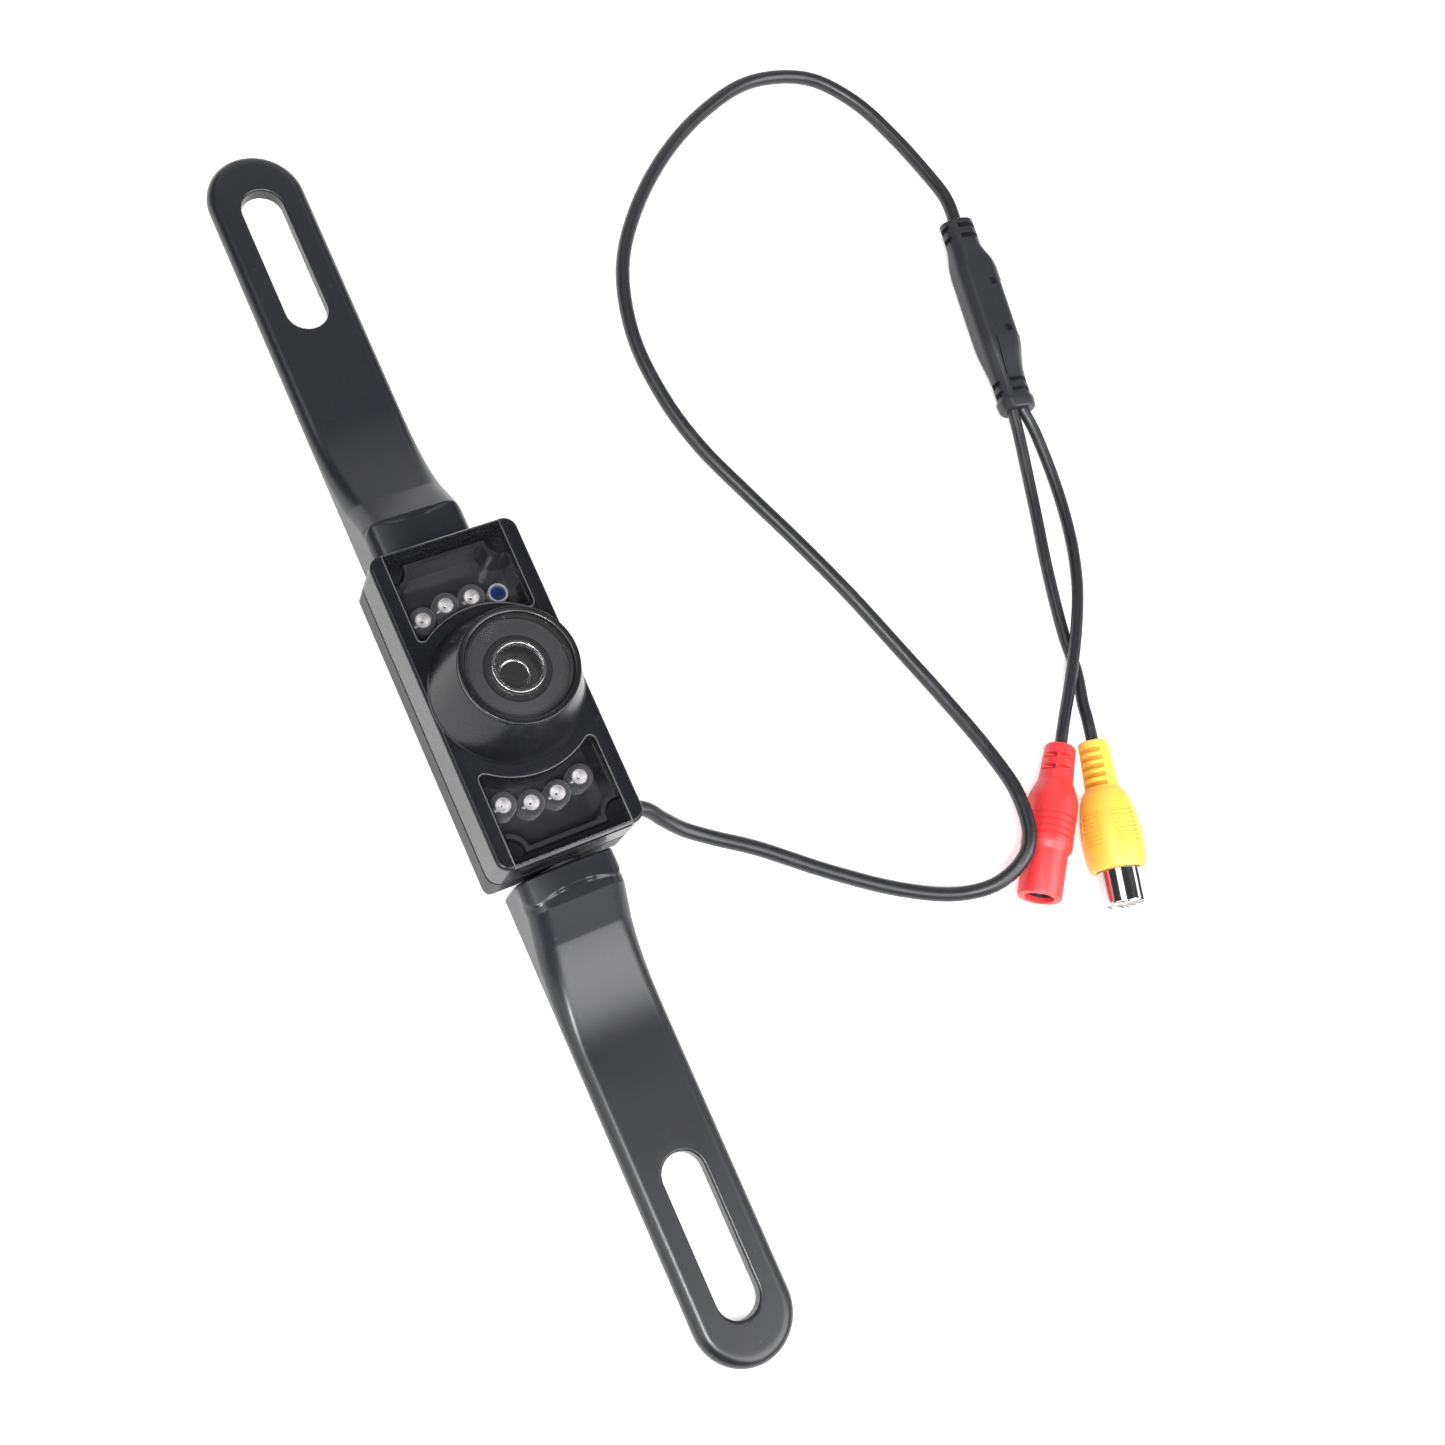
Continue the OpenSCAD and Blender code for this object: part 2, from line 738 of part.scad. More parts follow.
module power_jack_body() {
    mouth_depth = 10;
    mouth_r = 2.85;
    barrel_l = 9.4;
    color("#e0393a") at_power() difference() {
        union() {
            rotate_extrude() polygon([
                [0, 0], [2.8, 0], [3.1, 0.4], [3.5, 7.8], [power_r - 0.3, 11], [power_r, 12],
                [power_r, 21.6], [4.4, 22.8], [4.4, power_l], [0, power_l]]);
        }
        for (z = [2.4, 5], turn = [0:90:270]) rotate([0, 0, turn]) translate([2.4, 0.4, z])
            cube([2, 2, 0.9]);
        for (z = [15.4, 16.8, 18.2, 19.6]) ring(power_r + 1, power_r - 0.25, z, z + 0.5);
        translate([0, 0, power_l - mouth_depth]) cylinder(r = mouth_r, h = mouth_depth + bore_cut);
    }
}

module power_jack_insulator() {
    color("#101012") at_power() ring(2.8, 1, power_l - 10, power_l - 8.4);
}

module power_jack_contact() {
    color("#c8c9cc") at_power() translate([1.9, -0.6, power_l - 8.4]) cube([0.4, 1.2, 6.6]);
}

module power_jack_pin() {
    color("#d6d2c4") at_power() {
        translate([0, 0, power_l - 10]) cylinder(r = 1, h = 8.4);
        translate([0, 0, power_l - 1.6]) cylinder(r1 = 1, r2 = 0.6, h = 0.5);
    }
}

// ---------- video jack ----------

video_start = [46.5, 112.3, 6.2];
video_turn = -16.9;
video_body_l = 26.4;
video_root_r = video_shell_r - 0.1;

module at_video() {
    translate(video_start) rotate([0, 0, video_turn]) rotate([0, 90, 0]) children();
}

module video_jack_body() {
    color("#f2bd2c") at_video() difference() {
        rotate_extrude() polygon([
            [0, 0], [2.9, 0], [3.1, 0.4], [3.4, 9.6], [4.2, 10.6], [5.2, 13.2], [6, 18],
            [6.1, 21], [6, 23], [5.6, 25.6], [5.4, video_body_l], [0, video_body_l]]);
        for (z = [1.7:1.75:9], turn = [0, 180]) rotate([0, 0, turn]) translate([2.5, -2.4, z])
            cube([2, 4.8, 0.8]);
        for (s = [-1, 1]) translate([-2.6, s * 5.4 - 0.5 + s * 0.5, 15]) cube([5.2, 1, 7]);
        translate([0, 0, 12]) cylinder(r = video_root_r, h = 20);
    }
}

module video_jack_shell() {
    color("#d9dadd") at_video() difference() {
        union() {
            translate([0, 0, 12]) cylinder(r = video_root_r, h = video_body_l - 12);
            translate([0, 0, video_body_l]) cylinder(r = video_shell_r, h = video_l - video_body_l);
        }
        translate([0, 0, 11]) cylinder(r = video_shell_r - 0.45, h = video_l);
    }
}

module video_jack_insulator() {
    color("#e9e4d2") at_video() ring(video_shell_r - 0.45, 1.9, 12, video_l - 0.8);
}

module video_jack_contact() {
    color("#c9b56a") at_video() ring(1.9, 1.6, 12.5, video_l - 1.2);
}

mounting_bar();
pivot_screws();
friction_washers();
rear_cover();
front_cover();
housing_gasket();
case_screws();
left_window();
right_window();
left_tray();
right_tray();
left_light_board();
right_light_board();
for (i = [1:lights]) ir_led(i);
light_sensor();
main_board();
board_screws();
board_connector();
image_sensor();
lens_holder();
ir_cut_filter();
lens_barrel();
iris_disc();
rear_lens();
inner_ring();
front_lens();
front_ring();
lens_hood();
lens_baffle();
glass_seal();
cover_glass();
lens_bezel();
cable_grommet();
cable_tail();
main_cable();
inline_housing();
filter_board();
video_lead();
power_lead();
power_jack_body();
power_jack_insulator();
power_jack_contact();
power_jack_pin();
video_jack_body();
video_jack_shell();
video_jack_insulator();
video_jack_contact();
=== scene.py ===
# Tilting backup camera on its two-slot mounting bar, with cord, inline housing and jacks.
# +X runs along the bar, +Y is the cord side, +Z is the way the lens looks. Sizes are
# in millimetres up to the moment a mesh is made.
import math

import bmesh
import bpy
from mathutils import Matrix, Vector


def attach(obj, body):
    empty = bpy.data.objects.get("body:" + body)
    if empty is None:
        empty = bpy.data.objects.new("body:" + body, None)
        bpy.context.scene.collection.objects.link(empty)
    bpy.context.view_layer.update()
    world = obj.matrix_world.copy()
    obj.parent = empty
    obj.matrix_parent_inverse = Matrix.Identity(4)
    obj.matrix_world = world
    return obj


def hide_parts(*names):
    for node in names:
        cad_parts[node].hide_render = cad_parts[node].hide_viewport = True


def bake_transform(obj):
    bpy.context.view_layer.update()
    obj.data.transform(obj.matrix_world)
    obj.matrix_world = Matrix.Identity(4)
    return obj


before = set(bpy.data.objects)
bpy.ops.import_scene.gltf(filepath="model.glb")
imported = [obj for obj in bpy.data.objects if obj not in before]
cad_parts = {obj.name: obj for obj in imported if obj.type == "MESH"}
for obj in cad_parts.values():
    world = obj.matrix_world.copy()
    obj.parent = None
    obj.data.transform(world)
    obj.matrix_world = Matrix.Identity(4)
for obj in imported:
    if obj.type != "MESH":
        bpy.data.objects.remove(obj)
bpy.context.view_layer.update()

MM = 0.001
SHARP_ANGLE = 35  # edges that turn more than this, in degrees, are shaded as sharp
UP = Vector((0, 0, 1))


# ---------------------------------------------------------------- shapes

def smoothstep(t):
    t = min(max(t, 0), 1)
    return t * t * (3 - 2 * t)


def arc(centre, radius, start, end, parts):
    """Points on a circle from the start angle to the end angle, in degrees."""
    angles = [math.radians(start + (end - start) * i / parts) for i in range(parts + 1)]
    return [(centre[0] + radius * math.cos(a), centre[1] + radius * math.sin(a))
            for a in angles]


def soften(path, cut, closed=False, parts=4):
    """The path with its corners rounded, each rounding starting cut before the corner."""
    count = len(path)
    result = []
    for i, corner in enumerate(path):
        if not closed and i in (0, count - 1):
            result.append(tuple(corner))
            continue
        here = Vector(corner)
        before = Vector(path[i - 1]) - here
        after = Vector(path[(i + 1) % count]) - here
        a = here + before.normalized() * min(cut, 0.45 * before.length)
        b = here + after.normalized() * min(cut, 0.45 * after.length)
        for k in range(parts + 1):
            t = k / parts
            result.append(tuple(a * (1 - t) ** 2 + here * 2 * t * (1 - t) + b * t * t))
    return result


def rounded_rect(length, width, radius, parts=6):
    points = []
    for sx, sy, start in ((1, 1, 0), (-1, 1, 90), (-1, -1, 180), (1, -1, 270)):
        centre = (sx * (length / 2 - radius), sy * (width / 2 - radius))
        points += arc(centre, radius, start, start + 90, parts)
    return points


def inset(outline, depth):
    """A closed counter-clockwise outline moved inwards by depth."""
    count = len(outline)
    result = []
    for i in range(count):
        here = Vector(outline[i])
        back = (here - Vector(outline[i - 1])).normalized()
        on = (Vector(outline[(i + 1) % count]) - here).normalized()
        inward = Vector((-back.y - on.y, back.x + on.x))
        length = inward.length
        if length < 1e-6:
            result.append(tuple(here))
        else:
            result.append(tuple(here + inward * (depth * 2 / length ** 2)))
    return result


def loft(rings, first_cap=True, last_cap=True):
    """Points and faces of a skin over closed rings that have equally many points."""
    size = len(rings[0])
    points = [tuple(p) for ring in rings for p in ring]
    faces = []
    for i in range(len(rings) - 1):
        for k in range(size):
            a = i * size + k
            b = i * size + (k + 1) % size
            faces.append((a, b, b + size, a + size))
    if first_cap:
        faces.append(tuple(reversed(range(size))))
    if last_cap:
        faces.append(tuple(range(len(points) - size, len(points))))
    return points, faces


def slab(outline, levels):
    """A plate with the outline's shape; levels are (height, how far it is drawn in)."""
    return loft([[(x, y, z) for x, y in inset(outline, depth)] for z, depth in levels])


def bevelled(z0, z1, bevel, parts):
    """Levels for a slab whose bottom and top edges are rounded by bevel."""
    turns = [math.pi / 2 * i / parts for i in range(parts + 1)]
    bottom = [(z0 + bevel * (1 - math.sin(t)), bevel * (1 - math.cos(t))) for t in turns]
    top = [(z1 - bevel * (1 - math.sin(t)), bevel * (1 - math.cos(t))) for t in turns]
    return list(reversed(bottom)) + top


def lathe(profile, steps=96):
    """A profile of (radius, height) turned about Z. It closes on itself off the axis."""
    closed = profile[0][0] > 0
    points = []
    for k in range(steps):
        turn = 2 * math.pi * k / steps
        points += [(r * math.cos(turn), r * math.sin(turn), z) for r, z in profile]
    size = len(profile)
    faces = []
    for k in range(steps):
        here = k * size
        there = (k + 1) % steps * size
        for i in range(size if closed else size - 1):
            j = (i + 1) % size
            faces.append((here + i, there + i, there + j, here + j))
    return points, faces


def block(x0, x1, y0, y1, z0, z1, bevel=0.1):
    """A block with rounded upright and level edges."""
    centre = Vector(((x0 + x1) / 2, (y0 + y1) / 2, 0))
    plan = rounded_rect(x1 - x0, y1 - y0, max(bevel, 0.02), 2)
    points, faces = slab(plan, bevelled(z0, z1, bevel, 2))
    return [Vector(p) + centre for p in points], faces


def wedge(inner, outer, half_angle, z0, z1):
    """A piece of a ring about Z, centred on +X, between two radii."""
    outline = arc((0, 0), outer, -half_angle, half_angle, 12)
    outline += arc((0, 0), inner, half_angle, -half_angle, 12)
    return slab(outline, [(z0, 0), (z1, 0)])


def moved(shape, place):
    """The shape with its points put through a matrix."""
    points, faces = shape
    return [place @ Vector(p) for p in points], faces


def joined(*shapes):
    points = []
    faces = []
    for more_points, more_faces in shapes:
        start = len(points)
        points += more_points
        faces += [tuple(start + i for i in face) for face in more_faces]
    return points, faces


def at(x, y, z, turn=0):
    """A place in millimetres, turned about Z by degrees."""
    return Matrix.Translation((x, y, z)) @ Matrix.Rotation(math.radians(turn), 4, "Z")


MIRROR_X = Matrix.Scale(-1, 4, (1, 0, 0))
LENGTHWISE = Matrix.Rotation(math.pi / 2, 4, "Y")  # lays a turned shape's axis along X


def smooth_faces(mesh, sharp_angle):
    for polygon in mesh.polygons:
        polygon.use_smooth = True
    mesh.set_sharp_from_angle(angle=math.radians(sharp_angle))


def solid(name, shape, sharp_angle=SHARP_ANGLE):
    """An object with the shape, in metres, its faces turned outwards."""
    points, faces = shape
    mesh = bpy.data.meshes.new(name)
    mesh.from_pydata([Vector(p) * MM for p in points], [], faces)
    work = bmesh.new()
    work.from_mesh(mesh)
    bmesh.ops.remove_doubles(work, verts=work.verts, dist=1e-7)
    bmesh.ops.dissolve_degenerate(work, edges=work.edges, dist=1e-8)
    bmesh.ops.recalc_face_normals(work, faces=work.faces)
    work.to_mesh(mesh)
    work.free()
    smooth_faces(mesh, sharp_angle)
    piece = bpy.data.objects.new(name, mesh)
    bpy.context.scene.collection.objects.link(piece)
    return piece


def combine(piece, shape, operation):
    """Cuts the shape from the piece, or adds it, and keeps the resulting mesh."""
    tool = solid(piece.name + "_tool", shape)
    step = piece.modifiers.new("combine", "BOOLEAN")
    step.object = tool
    step.operation = operation
    step.solver = "EXACT"
    bpy.context.view_layer.update()
    depsgraph = bpy.context.evaluated_depsgraph_get()
    mesh = bpy.data.meshes.new_from_object(piece.evaluated_get(depsgraph))
    piece.modifiers.clear()
    piece.data = mesh
    bpy.data.objects.remove(tool)
    work = bmesh.new()
    work.from_mesh(mesh)
    bmesh.ops.dissolve_degenerate(work, edges=work.edges, dist=2e-7)
    work.to_mesh(mesh)
    work.free()
    smooth_faces(mesh, SHARP_ANGLE)
    return piece


def carve(piece, *shapes):
    return combine(piece, joined(*shapes), "DIFFERENCE")


def weld(piece, *shapes):
    return combine(piece, joined(*shapes), "UNION")


def fit(piece, body, finish, *nodes):
    """Gives a piece its finish and its body, and hides the nodes it stands for."""
    piece.data.materials.clear()
    piece.data.materials.append(finishes[finish])
    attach(piece, body)
    if nodes:
        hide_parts(*nodes)
    return piece


def even_shading(piece):
    """Keeps large flat faces flat beside their small roundings."""
    step = piece.modifiers.new("even_shading", "WEIGHTED_NORMAL")
    step.keep_sharp = True
    step.weight = 80
    return piece


# ---------------------------------------------------------------- camera

SENSOR_WIDTH = 36
FOCAL_LENGTH = 47.236
CAMERA_PLACE = Vector((76.98, -93.23, 333.1))
CAMERA_AIM = Vector((-0.16985, 0.37477, -0.91143))
CAMERA_TOP = Vector((-0.89526, 0.32789, 0.30166))


def set_camera():
    optics = bpy.data.cameras.new("studio_camera")
    optics.sensor_width = SENSOR_WIDTH
    optics.lens = FOCAL_LENGTH
    optics.clip_start = 0.01
    optics.clip_end = 20
    camera = bpy.data.objects.new("studio_camera", optics)
    bpy.context.scene.collection.objects.link(camera)
    aim = CAMERA_AIM.normalized()
    right = aim.cross(CAMERA_TOP).normalized()
    turn = Matrix((right, right.cross(aim), -aim)).transposed()
    camera.matrix_world = Matrix.LocRotScale(CAMERA_PLACE * MM, turn, None)
    bpy.context.scene.camera = camera


set_camera()


# ---------------------------------------------------------------- finishes

class Signal:
    """A shader value. Arithmetic on it adds the Math nodes."""

    def __init__(self, finish, socket):
        self.finish = finish
        self.socket = socket

    def __add__(self, other):
        return self.finish.maths("ADD", self, other)

    __radd__ = __add__

    def __sub__(self, other):
        return self.finish.maths("SUBTRACT", self, other)

    def __rsub__(self, other):
        return self.finish.maths("SUBTRACT", other, self)

    def __mul__(self, other):
        return self.finish.maths("MULTIPLY", self, other)

    __rmul__ = __mul__

    def __lt__(self, other):
        return self.finish.maths("LESS_THAN", self, other)


class Finish:
    """One material, with short ways to add the nodes that it needs."""

    def __init__(self, name):
        self.material = bpy.data.materials.new(name)
        self.material.use_nodes = True
        self.tree = self.material.node_tree
        self.tree.nodes.clear()
        self.place = self.node("ShaderNodeTexCoord", out="Object")

    def node(self, kind, settings=None, out=0, **sockets):
        """Adds a node: its settings first, then its sockets, by name with _ for a space."""
        node = self.tree.nodes.new(kind)
        for key, value in (settings or {}).items():
            if key == "stops":
                while len(node.color_ramp.elements) < len(value):
                    node.color_ramp.elements.new(0.5)
                for element, (position, shade) in zip(node.color_ramp.elements, value):
                    element.position = position
                    element.color = (shade, shade, shade, 1)
            else:
                setattr(node, key, value)
        for key, value in sockets.items():
            name = key.replace("_", " ")
            index = int(name[1:]) if name[0] == "n" and name[1:].isdigit() else name
            self.feed(node.inputs[index], value)
        return Signal(self, node.outputs[out])

    def feed(self, socket, value):
        if isinstance(value, Signal):
            self.tree.links.new(value.socket, socket)
        elif socket.type == "RGBA" and len(value) == 3:
            socket.default_value = (*value, 1)
        else:
            socket.default_value = value

    def maths(self, operation, a, b):
        return self.node("ShaderNodeMath", {"operation": operation}, n0=a, n1=b)

    def mix(self, factor, a, b):
        """A colour between a and b."""
        return self.node("ShaderNodeMix", {"data_type": "RGBA"}, out=2, n0=factor, n6=a, n7=b)

    def stretched(self, x, y, z, turn=0):
        """Object places scaled by x, y and z, turned about Z first."""
        turned = self.node("ShaderNodeVectorRotate", {"rotation_type": "Z_AXIS"},
                           Vector=self.place, Angle=math.radians(turn))
        return self.node("ShaderNodeVectorMath", {"operation": "MULTIPLY"},
                         n0=turned, n1=(x, y, z))

    def noise(self, scale, detail=2, rough=0.5, place=None):
        return self.node("ShaderNodeTexNoise", Vector=place or self.place, Scale=scale,
                         Detail=detail, Roughness=rough)

    def steps(self, value, *stops):
        """A value through a ramp of (position, grey) stops."""
        return self.node("ShaderNodeValToRGB", {"stops": stops}, Fac=value)

    def bump(self, height, distance):
        return self.node("ShaderNodeBump", Height=height, Distance=distance, Strength=1.0)

    def scratches(self, turn, density):
        """A mask of fine straight scratches that run one way."""
        lines = self.noise(1, 2, 0.6, self.stretched(5200, 90, 400, turn))
        breaks = self.noise(160, 2)
        return self.steps(lines, (density, 0), (density + 0.06, 1)) * \
            self.steps(breaks, (0.56, 0), (0.64, 1))

    def dust(self, scale, level):
        specks = self.noise(scale, 1)
        patches = self.noise(70, 2)
        return self.steps(specks, (level, 0), (level + 0.03, 1)) * \
            self.steps(patches, (0.5, 0), (0.62, 1))

    def surface(self, **sockets):
        shader = self.node("ShaderNodeBsdfPrincipled", **sockets)
        self.node_output(shader)
        return self.material

    def node_output(self, shader):
        output = self.tree.nodes.new("ShaderNodeOutputMaterial")
        self.tree.links.new(shader.socket, output.inputs["Surface"])


def scaled(colour, factor):
    return tuple(c * factor for c in colour)


def moulded(name, colour, rough, scuffs=0.4, gloss=0.5):
    """Moulded plastic: fine grain, cloudy gloss, a few scratches, dust and worn edges."""
    f = Finish(name)
    clouds = f.noise(38, 3)
    grain = f.noise(2600, 3, 0.6)
    lines = (f.scratches(25, 0.66) + f.scratches(-58, 0.68)) * scuffs
    specks = f.dust(900, 0.71) * 0.04
    geometry = f.node("ShaderNodeNewGeometry", out="Pointiness")
    edges = f.steps(geometry, (0.52, 0), (0.62, 1))
    base = f.mix(clouds, scaled(colour, 0.85), scaled(colour, 1.2))
    base = f.mix(edges * 0.15 + lines * 0.35, base, (0.06, 0.06, 0.065))
    base = f.mix(specks, base, (0.3, 0.3, 0.3))
    return f.surface(
        Base_Color=base,
        Roughness=rough - 0.05 + clouds * 0.08 + grain * 0.04 + lines * 0.15 + specks * 0.3,
        Specular_IOR_Level=gloss,
        Normal=f.bump(grain - lines * 0.6, 0.000008))


def vinyl(name, colour, rough, flow=0.5, dust=0.08):
    """Soft moulded vinyl: slightly uneven, with flow marks and a satin skin."""
    f = Finish(name)
    clouds = f.noise(60, 3)
    ripple = f.noise(420, 2)
    pores = f.noise(3800, 2, 0.7)
    specks = f.dust(1100, 0.7) * dust
    base = f.mix(clouds, scaled(colour, 0.86), scaled(colour, 1.1))
    base = f.mix(specks, base, (0.35, 0.34, 0.33))
    return f.surface(
        Base_Color=base,
        Roughness=rough + (clouds - 0.5) * 0.12 + (pores - 0.5) * 0.08 + specks * 0.2,
        Specular_IOR_Level=0.5,
        Normal=f.bump(ripple * flow + pores * 0.5, 0.00004))


def cord_vinyl(name, colour, rough):
    """Extruded cord jacket: satin, with faint long ripples and fine pores."""
    f = Finish(name)
    ripple = f.noise(260, 2)
    pores = f.noise(4200, 2, 0.7)
    scuff = f.steps(f.noise(150, 4, 0.65), (0.55, 0), (0.7, 1))
    base = f.mix(scuff * 0.5, colour, scaled(colour, 1.7))
    return f.surface(
        Base_Color=base,
        Roughness=rough + scuff * 0.12 + (pores - 0.5) * 0.1,
        Specular_IOR_Level=0.5,
        Normal=f.bump(ripple * 0.7 + pores * 0.4, 0.00004))


def bright_metal(name, colour, rough, turned=0.3):
    """Plated metal with faint tool marks, handling haze and hairline scratches."""
    f = Finish(name)
    haze = f.noise(140, 3)
    marks = f.noise(1, 2, 0.6, f.stretched(2600, 2600, 260))
    lines = f.scratches(12, 0.66)
    base = f.mix(haze, scaled(colour, 0.88), colour)
    base = f.mix(lines * 0.4, base, scaled(colour, 0.5))
    return f.surface(
        Base_Color=base,
        Metallic=1.0,
        Roughness=rough + haze * 0.06 + marks * turned * 0.15 + lines * 0.2,
        Normal=f.bump((marks - lines) * turned, 0.000012))


def clear(name, tint, body_colour, gloss, haze=0.02):
    """Clear plastic or glass: see-through, mirroring at its surface, faintly marked."""
    f = Finish(name)
    smear = f.steps(f.noise(90, 3), (0.4, 0), (0.75, 1))
    lines = f.scratches(40, 0.65)
    through = f.node("ShaderNodeBsdfTransparent", Color=tint)
    face = f.node("ShaderNodeBsdfPrincipled", Base_Color=body_colour,
                  Roughness=smear * 0.05 + lines * 0.2 + 0.04, IOR=1.5)
    fresnel = f.node("ShaderNodeFresnel", IOR=1.5)
    factor = fresnel * gloss + haze * (0.4 + smear) + lines * 0.05
    f.node_output(f.node("ShaderNodeMixShader", n0=factor, n1=through, n2=face))
    return f.material


def circuit_board(name):
    """Green board with copper tracks under the mask and tinned pads."""
    f = Finish(name)
    brick = f.node("ShaderNodeTexBrick", {"offset": 0.5}, out="Fac", Vector=f.place,
                   Scale=420.0, Mortar_Size=0.05, Brick_Width=0.9, Row_Height=0.35)
    cells = f.node("ShaderNodeTexVoronoi", {"feature": "F1"}, Vector=f.place, Scale=330.0)
    pads = cells < 0.16
    base = f.mix(brick, (0.008, 0.07, 0.022), (0.02, 0.13, 0.04))
    base = f.mix(pads, base, (0.6, 0.58, 0.55))
    return f.surface(Base_Color=base, Metallic=pads * 0.9,
                     Roughness=0.36 - pads * 0.1 + f.noise(500) * 0.1,
                     Normal=f.bump(brick * 0.4 + pads, 0.00003))


def plain_dark(name, colour, rough):
    """A small dark part that is seen only in glimpses: grain and a cloudy gloss."""
    f = Finish(name)
    clouds = f.noise(220, 3)
    grain = f.noise(3000, 2)
    return f.surface(Base_Color=f.mix(clouds, scaled(colour, 0.7), scaled(colour, 1.3)),
                     Roughness=rough + clouds * 0.1,
                     Normal=f.bump(grain, 0.00002))


finishes = {
    "bar_black": moulded("bar_black", (0.0085, 0.0088, 0.0112), 0.31, scuffs=0.5, gloss=0.45),
    "cover_front": moulded("cover_front", (0.0065, 0.0067, 0.0082), 0.27, gloss=0.26),
    "cover_rear": moulded("cover_rear", (0.0095, 0.0098, 0.012), 0.42, gloss=0.2),
    "lens_black": moulded("lens_black", (0.006, 0.006, 0.007), 0.26, scuffs=0.1),
    # black lens plastic painted grey: a painted reflection of the overhead light
    "lens_grey": moulded("lens_grey", (0.055, 0.055, 0.058), 0.3, scuffs=0.1),
    # the tray's own near-black, lifted to dark grey: a painted reflection on the glossy tray
    # floor
    "tray_dark": moulded("tray_dark", (0.028, 0.028, 0.031), 0.16, scuffs=0.2),
    "inline_black": vinyl("inline_black", (0.012, 0.0123, 0.0155), 0.42, 0.6, 0.06),
    "insulator_black": plain_dark("insulator_black", (0.012, 0.012, 0.012), 0.5),
    "seal_rubber": plain_dark("seal_rubber", (0.01, 0.01, 0.01), 0.6),
    "washer_rubber": plain_dark("washer_rubber", (0.02, 0.02, 0.02), 0.6),
    # the iris's own pinkish-brown, painted much lighter to stand in for light that hardly reaches
    # it deep in the barrel
    "iris_brown": plain_dark("iris_brown", (0.5, 0.2, 0.17), 0.45),
    "sensor_chip": plain_dark("sensor_chip", (0.02, 0.03, 0.05), 0.15),
    "sensor_blue": plain_dark("sensor_blue", (0.008, 0.02, 0.085), 0.15),
    # a light grey for the ring round each window: a painted glint along the window's edge
    "window_edge": plain_dark("window_edge", (0.07, 0.07, 0.074), 0.2),
    "insulator_ivory": vinyl("insulator_ivory", (0.78, 0.74, 0.6), 0.45, 0.3),
    "cord_black": cord_vinyl("cord_black", (0.0105, 0.0106, 0.0135), 0.36),
    "jack_red": vinyl("jack_red", (0.6, 0.028, 0.03), 0.4, 0.5),
    "jack_yellow": vinyl("jack_yellow", (0.82, 0.46, 0.06), 0.4, 0.5),
    "jack_chrome": bright_metal("jack_chrome", (0.54, 0.54, 0.55), 0.09, 0.004),
    "ring_metal": bright_metal("ring_metal", (0.8, 0.8, 0.82), 0.2, 0.1),
    "light_metal": bright_metal("light_metal", (0.97, 0.95, 0.92), 0.42, 0.2),
    "screw_steel": bright_metal("screw_steel", (0.56, 0.56, 0.57), 0.24, 0.4),
    "contact_nickel": bright_metal("contact_nickel", (0.7, 0.68, 0.63), 0.2, 0.2),
    "contact_brass": bright_metal("contact_brass", (0.78, 0.6, 0.3), 0.2, 0.2),
    "window_clear": clear("window_clear", (0.96, 0.96, 0.97), (0.02, 0.02, 0.02), 1.1, 0.01),
    "led_clear": clear("led_clear", (0.98, 0.98, 0.99), (0.5, 0.5, 0.52), 2.2, 0.05),
    "lens_glass": clear("lens_glass", (0.97, 0.97, 0.97), (0.1, 0.1, 0.1), 1.2, 0.02),
    "filter_glass": clear("filter_glass", (0.5, 0.75, 0.8), (0.02, 0.05, 0.06), 1.0),
    "board_green": circuit_board("board_green"),
}


# ---------------------------------------------------------------- cords

MAIN_CORD_RADIUS = 1.45
LEAD_RADIUS = 1.25
HELD_LENGTH = 1.2  # how far a cord's end goes into what holds it
CORD_SIDES = 20
MAIN_ROUTE = [
    (25.5, 15.95, 8), (25.6, 18, 7.85), (26.7, 20.4, 6.7), (28.9, 23, 4.6), (31.8, 26.6, 2.6),
    (35.3, 31.7, 1.65), (40.5, 39.3, 1.5), (49.6, 50.4, 1.5), (57.8, 61.8, 1.8),
    (63.2, 72, 3.2), (64.4, 80.4, 6.2), (60.4, 87.5, 8.9), (51, 90.7, 8), (40, 90.8, 4.8),
    (27, 88.4, 2.4), (14.2, 84.6, 1.6), (0, 79.8, 1.5), (-13.2, 74.6, 1.5),
    (-26.2, 69, 1.5), (-39, 63.8, 1.5), (-51.6, 61, 1.5), (-66, 60.8, 1.5),
    (-80.5, 65, 1.5), (-92.4, 73.4, 1.5), (-103.2, 85.4, 1.5), (-111, 98.8, 1.5),
    (-115, 112, 1.5), (-112.8, 125, 1.5), (-104.8, 133.4, 1.5), (-94, 138.4, 1.7),
    (-82, 141.4, 2.7), (-75.4, 141.9, 3.7), (-69.5, 141, 4)]
VIDEO_ROUTE = [
    (-24.7, 132.3, 4), (-19, 131.5, 2.9), (-7, 129, 1.3), (9.7, 124, 1.3),
    (22.6, 120.8, 1.3), (31.4, 119, 2), (38.4, 115.2, 4.8), (41.7, 113.8, 5.9),
    (46.5, 112.3, 6.2)]
POWER_ROUTE = [
    (-24.3, 134.8, 4), (-18.5, 135.6, 3), (-7.4, 135.4, 1.4), (3.9, 132.9, 1.5),
    (14, 128.4, 2.8), (22.6, 122.9, 3.9), (31.6, 116.4, 4.3), (40, 109.4, 5.1),
    (44.8, 105.8, 5.1)]


def smooth_route(route, radius, steps):
    """Points on a smooth curve through the route, none of them under the ground."""
    route = [Vector(p) for p in route]
    last = len(route) - 1
    points = []
    for i in range(last):
        a, b, c, d = (route[min(max(i + k, 0), last)] for k in (-1, 0, 1, 2))
        for k in range(steps):
            t = k / steps
            bend = 2 * a - 5 * b + 4 * c - d + t * (3 * (b - c) + d - a)
            points.append(b + 0.5 * t * (c - a + t * bend))
    points.append(route[last])
    for p in points:
        p.z = max(p.z, radius)
    return points


